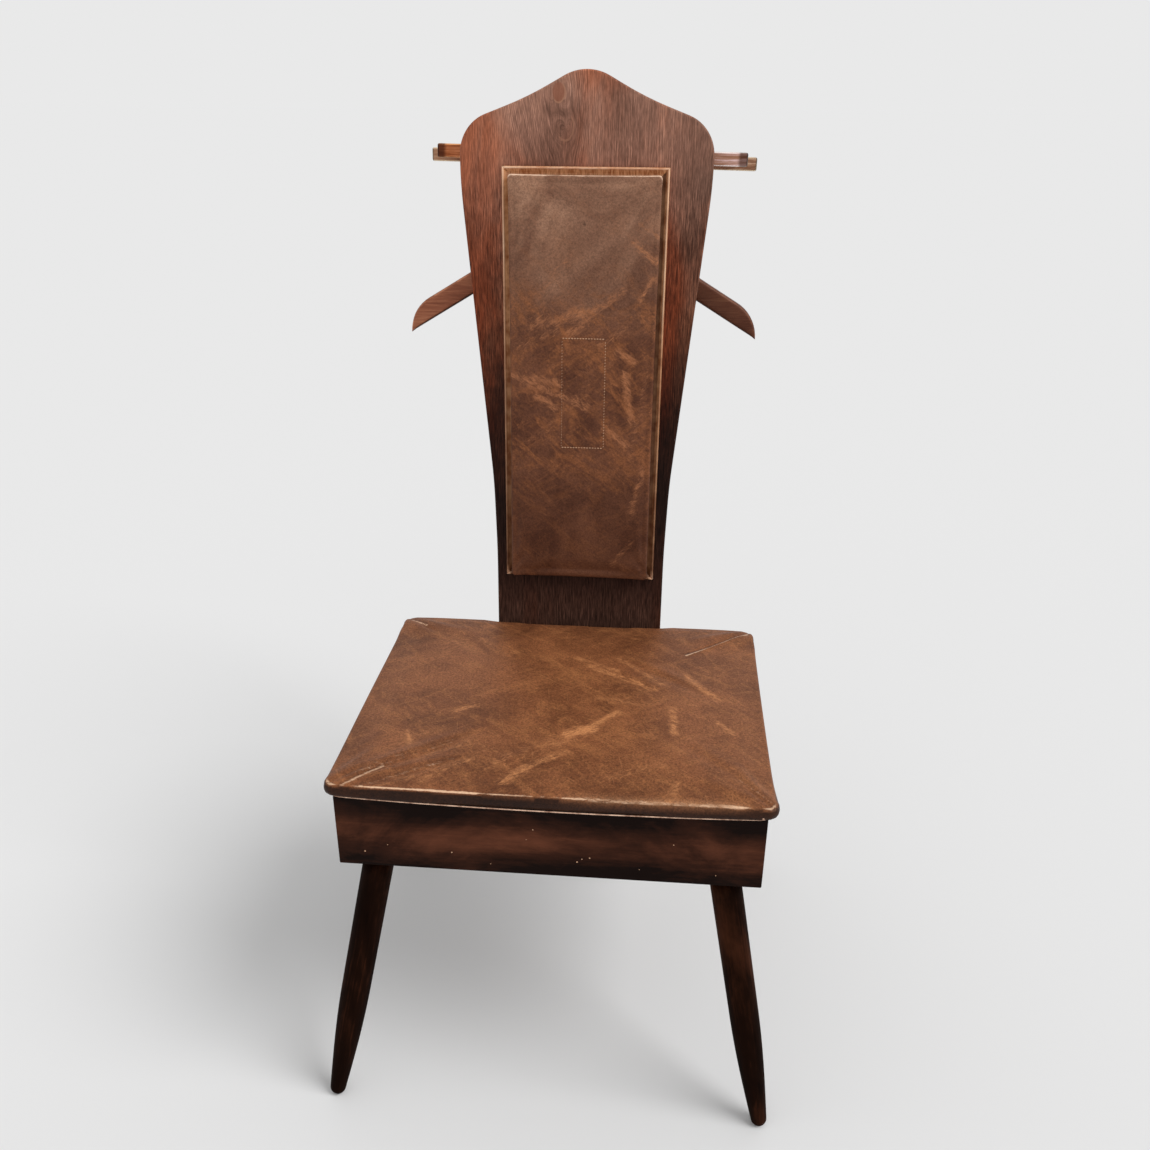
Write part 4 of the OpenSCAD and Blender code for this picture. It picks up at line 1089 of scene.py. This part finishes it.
def painted(xy, strokes):
    """The strongest of soft strokes: x0, y0, x1, y1, width and strength."""
    total = np.zeros(len(xy))
    for stroke in strokes:
        apart, _ = from_segment(xy, stroke)
        total = np.maximum(total, stroke[5] * bell(apart, stroke[4]))
    return total


def smears(xy, strokes, share):
    """Marks for strokes that rise to the right and for those that fall."""
    ways = {"rising": [], "falling": []}
    for stroke in strokes:
        rises = (stroke[2] - stroke[0]) * (stroke[3] - stroke[1]) >= 0
        ways["rising" if rises else "falling"].append(stroke)
    return {label: painted(xy, those) * share for label, those in ways.items()}


def fold(points, xy, stroke):
    """A fold along a stroke: one lip rises and the other sinks. stroke[4] is its width and
    stroke[5] its height."""
    apart, along = from_segment(xy, stroke)
    side = side_of(xy, stroke) / stroke[4]
    shape = side * bell(apart, stroke[4]) * 2.3
    points[:, 2] += stroke[5] * shape * np.sin(np.pi * unit(along * 0.85 + 0.12))


def hollowed(obj, lo, hi):
    """Cuts the board's room, a box from lo to hi in the object's own mm, out of a cushion."""
    bpy.ops.mesh.primitive_cube_add(size=1)
    cutter = bpy.context.active_object
    size, middle = np.subtract(hi, lo) * MM, np.add(hi, lo) / 2 * MM
    cutter.data.transform(Matrix.Translation(middle) @ Matrix.Diagonal((*size, 1)))
    cut = obj.modifiers.new("board_room", "BOOLEAN")
    cut.operation, cut.object, cut.solver = "DIFFERENCE", cutter, "EXACT"
    evaluated(obj)
    bpy.data.objects.remove(cutter)


def cushion(name, points, faces, matrix, room, finish, body, stands_for, marks):
    """A finished cushion: painted in its own frame, cut for its board, then put in place."""
    made = build(name, points, faces, finish, body, [stands_for],
        {"grain": points * MM, **marks})
    hollowed(made, *room)
    place = matrix.copy()
    place.translation *= MM
    made.data.transform(place)
    made.data.shade_smooth()
    return made


# Sizes of the seat's cushion, its hem and cord, and its board, and half the plank's width
LID_W, LID_D, SEAT_RIM, SEAT_CROWN, SEAT_CORNER, SEAT_DRAW = 462.0, 394.0, 16.0, 9.0, 16.0, 2.0
HEM_Z, HEM_DROP, WELT_Z, WELT_R = 3.6, 5.0, 2.95, 0.65
SEAT_BOARD_INSET, SEAT_BOARD_TOP = 5.2 - 0.3, 11.3
PLANK_HALF_W = 125.0
# Rubbed smears on the seat, and at the front left painted highlights along a fan of folds: x0, y0, x1, y1,
# width, strength
SEAT_SMEARS_AND_HIGHLIGHTS = [(7, 92, 60, 61, 8, 0.75), (26, 71, 104, 21, 11, 0.8), (58, 97, 114, 34, 8, 0.75),
    (142, 59, 178, 7, 10, 0.8), (12, -88, 36, -73, 14, 1.0), (36, -69, 64, -36, 9, 0.9),
    (-46, -175, -26, -151, 12, 0.85), (-17, -143, 10, -121, 12, 0.8), (126, -19, 127, -73, 9, 0.85),
    (-120, -49, -97, -34, 8, 0.8), (-166, -93, -156, -119, 9, 0.75), (176, -43, 193, -65, 8, 0.8),
    (125, -193, 130, -166, 10, 0.75), (-222, -199, -103, -118, 8, 0.65), (-203, -212, -95, -146, 8, 0.65),
    (-133, -180, -87, -142, 10, 0.7), (-121, 132, -12, 75, 18, 0.5), (-75, -217, -49, -188, 8, 0.65),
    (62, -160, 113, -136, 14, 0.6), (42, -6, 88, -16, 12, 0.65), (-60, -150, 40, -70, 22, 0.6),
    (-90, 60, 20, 20, 22, 0.42), (40, 40, 150, -10, 20, 0.5), (-180, -60, -60, -130, 16, 0.5)]
# Folds of its cover, the same way but with a height
SEAT_FOLDS = [(216, 178, 140, 112, 3.0, 1.3), (-212, 178, -180, 152, 4.0, 1.0),
    (-214, -190, -170, -155, 5, 1.0), (216, -184, 186, -150, 5, 0.8), (-205, -175, -105, -112, 7, 1.3),
    (-195, -190, -95, -138, 7, 1.2), (-185, -160, -90, -90, 8, 0.9), (-60, -160, 60, -60, 10, 0.8),
    (20, 80, 110, 20, 9, 0.8), (60, 100, 180, 10, 10, 0.7), (-150, 150, -60, 60, 18, 0.8),
    (150, -100, 210, -160, 10, 0.6)]
# Fine crease lines on the seat that catch the light
SEAT_CREASES = [(222, 183, 142, 113, 1.8, 1.0), (-221, 185, -196, 166, 1.6, 0.8),
    (-220, -203, -176, -162, 2.2, 0.7), (-210, -182, -112, -114, 3.0, 0.38),
    (-198, -197, -105, -144, 3.0, 0.42), (-186, -160, -96, -98, 3.0, 0.35), (226, -188, 194, -154, 1.7, 0.5)]
# Where a tack holds a small pleat of the hem: across, up
TACK = (216.8, 5.4)


def hem_drop(xy):
    """How far the hem hangs down in front of the box's wall: most in its middle."""
    bow = np.cos(np.pi / 2 * unit(abs(xy[:, 0]) / (LID_W / 2 - 10))) ** 0.7
    return HEM_DROP * bow * unit((-LID_D / 2 + 6.2 - xy[:, 1]) / 1.2)


def eased_sides(points):
    """The front and left sides hang straight, and the right one pulls in by half as much."""
    x, y = points[:, 0].copy(), points[:, 1].copy()
    pull_y = SEAT_DRAW * np.cos(np.pi / 2 * np.clip(x / (LID_W / 2 - SEAT_CORNER), -1, 1))
    pull_x = SEAT_DRAW * np.cos(np.pi / 2 * np.clip(y / (LID_D / 2 - SEAT_CORNER), -1, 1))
    points[:, 1] -= pull_y * unit((-LID_D / 2 + 30 - y) / 25)
    points[:, 0] -= (pull_x + 0.8) * unit((-LID_W / 2 + 30 - x) / 25)
    points[:, 0] += 0.5 * pull_x * unit((x - LID_W / 2 + 30) / 25)


def make_seat():
    """The seat's cushion: plump at its rim, lowest in the middle, its hem bowed down in front."""
    points, faces = cushion_form(LID_W - 3, LID_D - 3, SEAT_RIM - 0.6, SEAT_CORNER - 2, SEAT_DRAW, 0.8,
        SEAT_CROWN - 2.5, HEM_Z, 1.2)
    points, faces = inflate(points, faces, 4.5, HEM_Z + 3.5, 4.0)
    points = fitted(points, LID_W - 0.4, LID_D - 0.4, SEAT_RIM + SEAT_CROWN - 0.6, 6)
    xy = points[:, :2].copy()
    gap, way = rim_gap(xy, LID_W, LID_D, SEAT_CORNER, SEAT_DRAW)
    at_corner = near_corner(xy, LID_W, LID_D, 26)
    # The rear edge stands higher, but by the plank no more than clears it when the seat is up
    by_plank = unit((PLANK_HALF_W - abs(xy[:, 0])) / 22)
    rear = bell(LID_D / 2 - xy[:, 1], 42) * (1 - 0.6 * at_corner)
    plump = 3.8 * bell(gap, 26) + rear * (5.2 - 1.9 * by_plank)
    points[:, 2] += plump * unit((points[:, 2] - 4) / 10)
    top = shoulder(points, gap, 7) - 0.1
    behind = unit((xy[:, 1] - LID_D / 2 + 60) / 40)
    squared_off(points, gap, way, top, 7, (0.8 + 0.7 * behind) * (1 - 0.8 * at_corner))
    ceiling = 18.9 + 0.2 * np.clip(gap, 0, 40) + 9 * (1 - by_plank) + 9 * (xy[:, 1] < LID_D / 2 - 40)
    points[:, 2] = np.minimum(points[:, 2], ceiling)
    eased_sides(points)
    # The front corners bulge
    gap, way = rim_gap(points[:, :2], LID_W, LID_D, SEAT_CORNER, 0)
    right = xy[:, 0] > 0
    bulge = near_corner(points[:, :2], LID_W, LID_D, 32) * (xy[:, 1] < 0) * bell(gap, 12)
    middle = bell(points[:, 2] - 11, 6.5)
    points[:, :2] += way * (bulge * middle * np.where(right, 4.2, 2.2))[:, None]
    xy = points[:, :2].copy()
    on_top = unit((points[:, 2] - SEAT_RIM + 4) / 4)
    flexed = points.copy()
    for stroke in SEAT_FOLDS:
        fold(flexed, xy, stroke)
    points += (flexed - points) * (on_top * unit((gap - 2) / 10))[:, None]
    # What the leather's material reads: along the front edge wear and a painted highlight make a fine bright
    # line at the left and a painted glow at the right, and below it the side face gets painted shade
    gap = np.clip(gap, 0, 99)
    front = unit((-LID_D / 2 + 14 - xy[:, 1]) / 8)
    broad = unit((xy[:, 0] - 10) / 50) * unit((215 - xy[:, 0]) / 40)
    below = top - points[:, 2]
    ridge = bell(gap, 2.6 + 2.6 * broad) * unit((2.4 + 1.6 * broad - below) / 1.4)
    creases = painted(xy, SEAT_CREASES) * on_top
    glow = 0.55 * broad * front * bell(below - 0.5, 3.2) * bell(gap, 9)
    ridge = unit(ridge * (1.5 - 0.9 * broad)) * (0.2 + 0.8 * front)
    wear_and_highlight = np.maximum(ridge, creases)
    # Painted shade on the side face, beside each crease, at the corners, in the pleat and faintly inside the
    # rim
    face = 0.92 * ((1 - broad) * unit((below - 2.0) / 1.5) + broad * unit((below - 0.6) / 8))
    shaded = painted(xy - np.array([0.6, 2.8]), SEAT_CREASES) * on_top
    pleat = bell(xy[:, 0] - TACK[0] - 1.5, 1.6) * front * unit((below - 3) / 2)
    corner = near_corner(xy, LID_W, LID_D, 12) * (0.35 + 0.6 * unit((below - 1) / 2))
    grime_and_shade = np.maximum(face * np.exp(-(gap / 5) ** 4), corner)
    grime_and_shade = np.maximum(np.maximum(grime_and_shade, 0.6 * shaded), 0.95 * pleat)
    grime_and_shade = np.maximum(grime_and_shade, 0.13 * bell(gap, 45) * (1 - front))
    # The pleat at the tack, and the hem drawn down to the cord
    points[:, 1] += 1.2 * pleat
    hem = HEM_Z - hem_drop(xy)
    drawn = 12 - (12 - points[:, 2]) * (12 - hem) / 6.5
    share = unit((5.2 - gap) / 1.5) * (points[:, 2] < 12)
    points[:, 2] += (np.maximum(drawn, hem) - points[:, 2]) * share
    marks = {"wear_and_highlight": wear_and_highlight, "grime_and_shade": grime_and_shade, "pale": glow, "marble": 0.55 * on_top,
        **smears(xy, SEAT_SMEARS_AND_HIGHLIGHTS, on_top)}
    half_w, half_d = LID_W / 2 - SEAT_BOARD_INSET, LID_D / 2 - SEAT_BOARD_INSET
    room = ((-half_w, -half_d, -8), (half_w, half_d, SEAT_BOARD_TOP))
    return cushion("seat_cushion", points, faces, LID, room, SEAT_LEATHER, "seat_lid", "seat_pad", marks)


def make_cord():
    """The pale cord under the cushion's hem."""
    path = rim(LID_W - 2 * WELT_R, LID_D - 2 * WELT_R, SEAT_CORNER, SEAT_DRAW)
    eased_sides(path)
    path = np.column_stack((path, WELT_Z - hem_drop(path)))
    way = np.roll(path, -1, 0) - np.roll(path, 1, 0)
    out = np.cross(way, (0, 0, 1))
    out /= np.linalg.norm(out, axis=1)[:, None]
    sides = 8
    points = np.array([p + WELT_R * (math.cos(a) * o + math.sin(a) * np.array([0, 0, 1]))
        for p, o in zip(path, out) for a in circle(sides)])
    faces = [tuple(i % len(points) for i in quad) for quad in faces_between(len(path) + 1, sides)]
    build("seat_cord", moved(LID, points), faces, CORD, "seat_lid", ["seat_welt"],
        {"grain": points * MM})


def domes(name, matrix, spots, finish, body):
    """Small domes that face the front: across, forward place, up and radius of each."""
    points, faces, sides = [], [], 12
    for x, y, z, r in spots:
        base = len(points)
        for share, out in ((1, -0.5), (1, 0.15), (0.75, 0.45), (0.35, 0.62)):
            points += [(x + share * r * math.cos(a), y - out * r, z + share * r * math.sin(a))
                for a in circle(sides)]
        faces += capped(4, sides, base)
    build(name, moved(matrix, points), faces, finish, body, marks={"grain": np.array(points) * MM})


def make_tack(seat):
    """The small domed tack at the front right corner of the seat's hem."""
    hit = surface_of(seat, LID).ray_cast(Vector((TACK[0], -300, TACK[1])), Vector((0, 1, 0)))[0]
    domes("hem_tack", LID, [(TACK[0], hit.y, TACK[1], 1.3)], CORD, "seat_lid")


PAD_W, PAD_H, PAD_T, PAD_SWELL, PAD_CROWN = 173.0, 477.0, 18.0, 1.6, 3.0
# Rubbed smears on the back pad, given as the seat's are, across and up the plank
PAD_SMEARS = [(58, 479, 84, 459, 7, 0.85), (64, 500, 86, 486, 5, 0.7), (-48, 426, -17, 463, 8, 0.6),
    (3, 394, 47, 426, 9, 0.75), (-58, 386, -3, 400, 14, 0.75), (-86, 328, 6, 290, 11, 0.8),
    (-60, 323, -26, 317, 8, 0.85), (-53, 300, -33, 289, 9, 0.85), (-15, 377, 4, 389, 10, 0.8),
    (43, 357, 63, 345, 8, 0.85), (52, 331, 62, 272, 9, 0.85), (30, 263, 55, 244, 9, 0.85),
    (65, 158, 77, 212, 8, 0.75), (43, 88, 67, 116, 9, 0.65), (67, 417, 81, 440, 7, 0.8),
    (22, 364, 51, 382, 10, 0.7), (-75, 362, -27, 381, 12, 0.65), (-77, 116, -25, 144, 16, 0.4),
    (-25, 171, 38, 199, 16, 0.4), (-20, 280, 30, 340, 16, 0.55), (-70, 240, -20, 280, 14, 0.55),
    (60, 225, 80, 330, 9, 0.6), (-40, 345, 40, 320, 14, 0.5)]
# Broad greyish sheens across the back pad
PAD_SHEENS = [(-74, 535, -50, 440, 8, 0.5), (-80, 545, 0, 500, 9, 0.45), (-50, 415, 55, 505, 11, 0.5),
    (0, 400, 70, 470, 9, 0.4), (-70, 470, -20, 540, 10, 0.4), (20, 520, 80, 545, 10, 0.5)]
# Folds of its cover
PAD_FOLDS = [(-60, 400, 60, 490, 14, 0.7), (-40, 370, 70, 420, 12, 0.6), (20, 320, 80, 370, 10, 0.6),
    (-84, 545, -40, 440, 9, 0.7), (-80, 540, -10, 470, 12, 0.6), (80, 545, 60, 500, 6, 0.5),
    (-70, 250, 40, 190, 14, 0.5), (-86, 330, 0, 300, 8, 0.5)]
# The sewn rectangle: left, right, bottom and top, from the pad's middle
PATCH = (-24.0, 28.0, 239.0 - PAD_S, 371.0 - PAD_S)
PAD_BOARD_INSET, PAD_BOARD_TOP = 3.5, 8.3
PAD_FRAME = PLANK @ Matrix(((1, 0, 0, 0), (0, 0, -1, 0), (0, 1, 0, PAD_S), (0, 0, 0, 1)))


def patch_edge(xy):
    """Distance from the stitched rectangle's outline."""
    x0, x1, y0, y1 = PATCH
    out_x, out_y = np.maximum(x0 - xy[:, 0], xy[:, 0] - x1), np.maximum(y0 - xy[:, 1], xy[:, 1] - y1)
    outside = np.hypot(np.maximum(out_x, 0), np.maximum(out_y, 0))
    return abs(outside + np.minimum(np.maximum(out_x, out_y), 0))


def make_back_pad():
    """The back pad's cushion, tight in its moulding and a little fuller higher up."""
    w, h = PAD_W + 2 * PAD_SWELL, PAD_H + 2 * PAD_SWELL
    points, faces = cushion_form(w - 2.4, h - 2.4, PAD_T - PAD_CROWN - 0.4, 4.0, 0.6, PAD_SWELL,
        PAD_CROWN - 1.2, 0.3, 1.0)
    points, faces = inflate(points, faces, 3.6, 3.0, 2.5)
    points = fitted(points, w - 0.2, h - 0.2, PAD_T - 0.3, 3)
    xy = points[:, :2].copy()
    gap, way = rim_gap(xy, w, h, 3.0, 0.5)
    up = unit((xy[:, 1] + h / 2 - 8) / 60)
    firm = (0.5 + 2.0 * up) * bell(gap, 22)
    points[:, 2] += firm * unit((points[:, 2] - 3) / 10)
    squared_off(points, gap, way, 14.7 + firm, 6, 1.1)
    # Its sides stand inside the moulding, and its lower edge hangs over it
    seated = points[:, 2] < 6.2
    points[seated, 0] = np.clip(points[seated, 0], -PAD_W / 2, PAD_W / 2)
    points[seated, 1] = np.clip(points[seated, 1], -PAD_H / 2, PAD_H / 2)
    lip = unit((points[:, 2] - 6.4) / 1.2) * unit((-h / 2 + 16 - points[:, 1]) / 16)
    points[:, 1] -= 5.6 * lip
    gap = np.clip(rim_gap(xy, w, h, 3.0, 0.5)[0], 0, 99)
    up_plank = xy + np.array([0, PAD_S])
    on_top = unit((points[:, 2] - PAD_T + PAD_CROWN + 3) / 3)
    flexed = points.copy()
    for stroke in PAD_FOLDS:
        fold(flexed, up_plank, stroke)
    flexed[:, 2] -= 0.55 * bell(patch_edge(xy), 1.6)
    points += (flexed - points) * (on_top * unit(gap / 6))[:, None]
    # Painted highlight, over some wear, along the top edge and the upper right corner
    upper = unit((xy[:, 1] - h / 2 + 6) / 3)
    right_top = (xy[:, 0] > 0) * unit((xy[:, 1] - h / 2 + 70) / 40)
    high = unit((points[:, 2] - PAD_T + PAD_CROWN + 2.5) / 2)
    corner = bell(gap, 1.8 + 2.0 * upper) * high
    wear_and_highlight = corner * (0.25 + 0.75 * np.maximum(upper, 0.8 * right_top))
    s = up_plank[:, 1]
    # Painted shade on its side faces, and grime with painted shade growing towards its foot
    low = unit((PAD_T - PAD_CROWN - 1 - points[:, 2]) / 3) * (1 - upper)
    dot = painted(up_plank, [(-0.4, 499.5, 1.2, 499.5, 1.4, 0.8)])
    grime_and_shade = np.maximum(0.12 * unit((260 - s) / 160), np.maximum(0.85 * low, dot * on_top))
    middle = unit((455 - s) / 60)
    # Painted sheen: paler and greyer towards the top and in broad diagonal bands
    pale = 0.85 * unit((s - 370) / 150) + 0.5 * painted(up_plank, PAD_SHEENS)
    marks = {"wear_and_highlight": wear_and_highlight, "grime_and_shade": grime_and_shade, "pale": unit(pale),
        "marble": (0.12 + 0.63 * middle) * np.clip((s - 120) / 120, 0.3, 1) * on_top,
        **smears(up_plank, PAD_SMEARS, on_top)}
    half_w, half_h = PAD_W / 2 - PAD_BOARD_INSET, PAD_H / 2 - PAD_BOARD_INSET
    room = ((-half_w, -half_h, -5), (half_w, half_h, PAD_BOARD_TOP))
    return cushion("back_cushion", points, faces, PAD_FRAME, room, BACK_LEATHER, "root", "back_pad", marks)


# A stitch: how far along, how thick and how deep in the leather
STITCH = ((0, 0.15, 0.35), (0.15, 0.45, 0), (0.5, 0.6, -0.2), (0.85, 0.45, 0), (1, 0.15, 0.35))


def make_stitches(pad):
    """Thread round the sewn rectangle: long stitches along it, short ones down its sides."""
    surface = surface_of(pad, PAD_FRAME)
    x0, x1, y0, y1 = PATCH
    ends = []
    for y in (y0, y1):
        for x in np.arange(x0 + 1.5, x1 - 1.0, 3.4):
            ends.append(((x - 1.3, y), (x + 1.3, y), 1.2))
    for x, thick in ((x0, 0.6), (x1, 1.0)):
        for y in np.arange(y0 + 2.0, y1 - 1.0, 3.4):
            ends.append(((x - 0.5, y - 0.8), (x + 0.5, y + 0.8), thick))
    points, faces = [], []
    sides = 6
    for a, b, thick in ends:
        a, b = np.array(a), np.array(b)
        way = (b - a) / np.linalg.norm(b - a)
        left = np.array([-way[1], way[0]])
        base = len(points)
        for t, r, dip in STITCH:
            spot = a + (b - a) * t
            hit = surface.ray_cast(Vector((*spot, 40)), Vector((0, 0, -1)))[0]
            for turn in circle(sides):
                flat = spot + left * thick * r * math.cos(turn)
                points.append((*flat, hit.z - dip + thick * r * math.sin(turn)))
        faces += capped(5, sides, base)
    points = np.array(points)
    build("pad_stitching", moved(PAD_FRAME, points), faces, THREAD, marks={"grain": points * MM})


make_tack(make_seat())
make_cord()
# Old drops of paint on the front of the box: across, up and radius
DROPS = [(-194, 325, 0.9), (-169, 335, 0.6), (-101, 330, 0.8), (130, 356, 0.7), (175, 320, 0.5),
    (-15, 365, 0.7), (-22, 352, 0.5), (31, 327, 0.9), (36, 331, 0.6), (44, 333, 0.8), (-60, 318, 0.5),
    (96, 322, 0.5)]
domes("paint_drops", UPRIGHT, [(x, -MID_Y - 0.05, z, r) for x, z, r in DROPS], THREAD, "root")
make_stitches(make_back_pad())

# ---------------------------------------------------------------- floor, light and camera

PAPER = 0.815
AMBIENT = 0.62
KEY = 1.60
KEY_WAY = Vector((-0.636, 0.207, -0.743))


def make_studio():
    """A pale floor, one soft sun and an even sky that looks like paper to the camera."""
    mesh = bpy.data.meshes.new("floor")
    mesh.from_pydata([(-60, -60, 0), (60, -60, 0), (60, 60, 0), (-60, 60, 0)], [], [(0, 1, 2, 3)])
    paper, _, shader = material("floor_paper")
    coat(shader, (PAPER, PAPER, PAPER, 1.0), 1.0, 0.0)
    mesh.materials.append(paper)
    in_scene("floor", mesh)

    sun = bpy.data.lights.new("key", "SUN")
    sun.energy = KEY
    sun.angle = math.radians(34)
    lamp = in_scene("key", sun)
    lamp.rotation_mode = "QUATERNION"
    lamp.rotation_quaternion = KEY_WAY.to_track_quat("-Z", "Y")

    world = bpy.data.worlds.new("studio")
    bpy.context.scene.world = world
    world.use_nodes = True
    tree = world.node_tree
    ray = node(tree, "LightPath", output="Is Camera Ray")
    seen = calc("MAXIMUM", ray, ray.other("Is Glossy Ray"))
    seen = calc("MAXIMUM", seen, ray.other("Is Transmission Ray"))
    level = node(tree, "MapRange", {"Value": seen, "To Min": AMBIENT, "To Max": PAPER})
    give(level, tree.nodes["Background"].inputs["Strength"])
    tree.nodes["Background"].inputs["Color"].default_value = (1, 1, 1, 1)
    bpy.context.scene.view_settings.view_transform = "Standard"


FOCAL, IMAGE = 1096.08, 1150
PRINCIPAL = (568.96, 635.34)
EYE = Vector((98.16, -1149.40, 1049.53)) * MM
YAW, PITCH, ROLL = -0.0842, 0.4643, -0.0061


def make_camera():
    """The photo's camera: its lens, its shift and where it stands."""
    data = bpy.data.cameras.new("camera")
    data.sensor_width = 36
    data.lens = FOCAL / IMAGE * data.sensor_width
    data.shift_x = (IMAGE / 2 - PRINCIPAL[0]) / IMAGE
    data.shift_y = (PRINCIPAL[1] - IMAGE / 2) / IMAGE
    data.clip_end = 200
    level = Vector((math.sin(YAW), math.cos(YAW), 0)) * math.cos(PITCH)
    ahead = level - Vector((0, 0, math.sin(PITCH)))
    flat = Vector((math.cos(YAW), -math.sin(YAW), 0))
    below = ahead.cross(flat)
    right = math.cos(ROLL) * flat + math.sin(ROLL) * below
    down = math.cos(ROLL) * below - math.sin(ROLL) * flat
    facing = Matrix((right, -down, -ahead)).transposed()
    eye = in_scene("camera", data)
    eye.matrix_world = Matrix.Translation(EYE) @ facing.to_4x4()
    bpy.context.scene.camera = eye


make_studio()
make_camera()
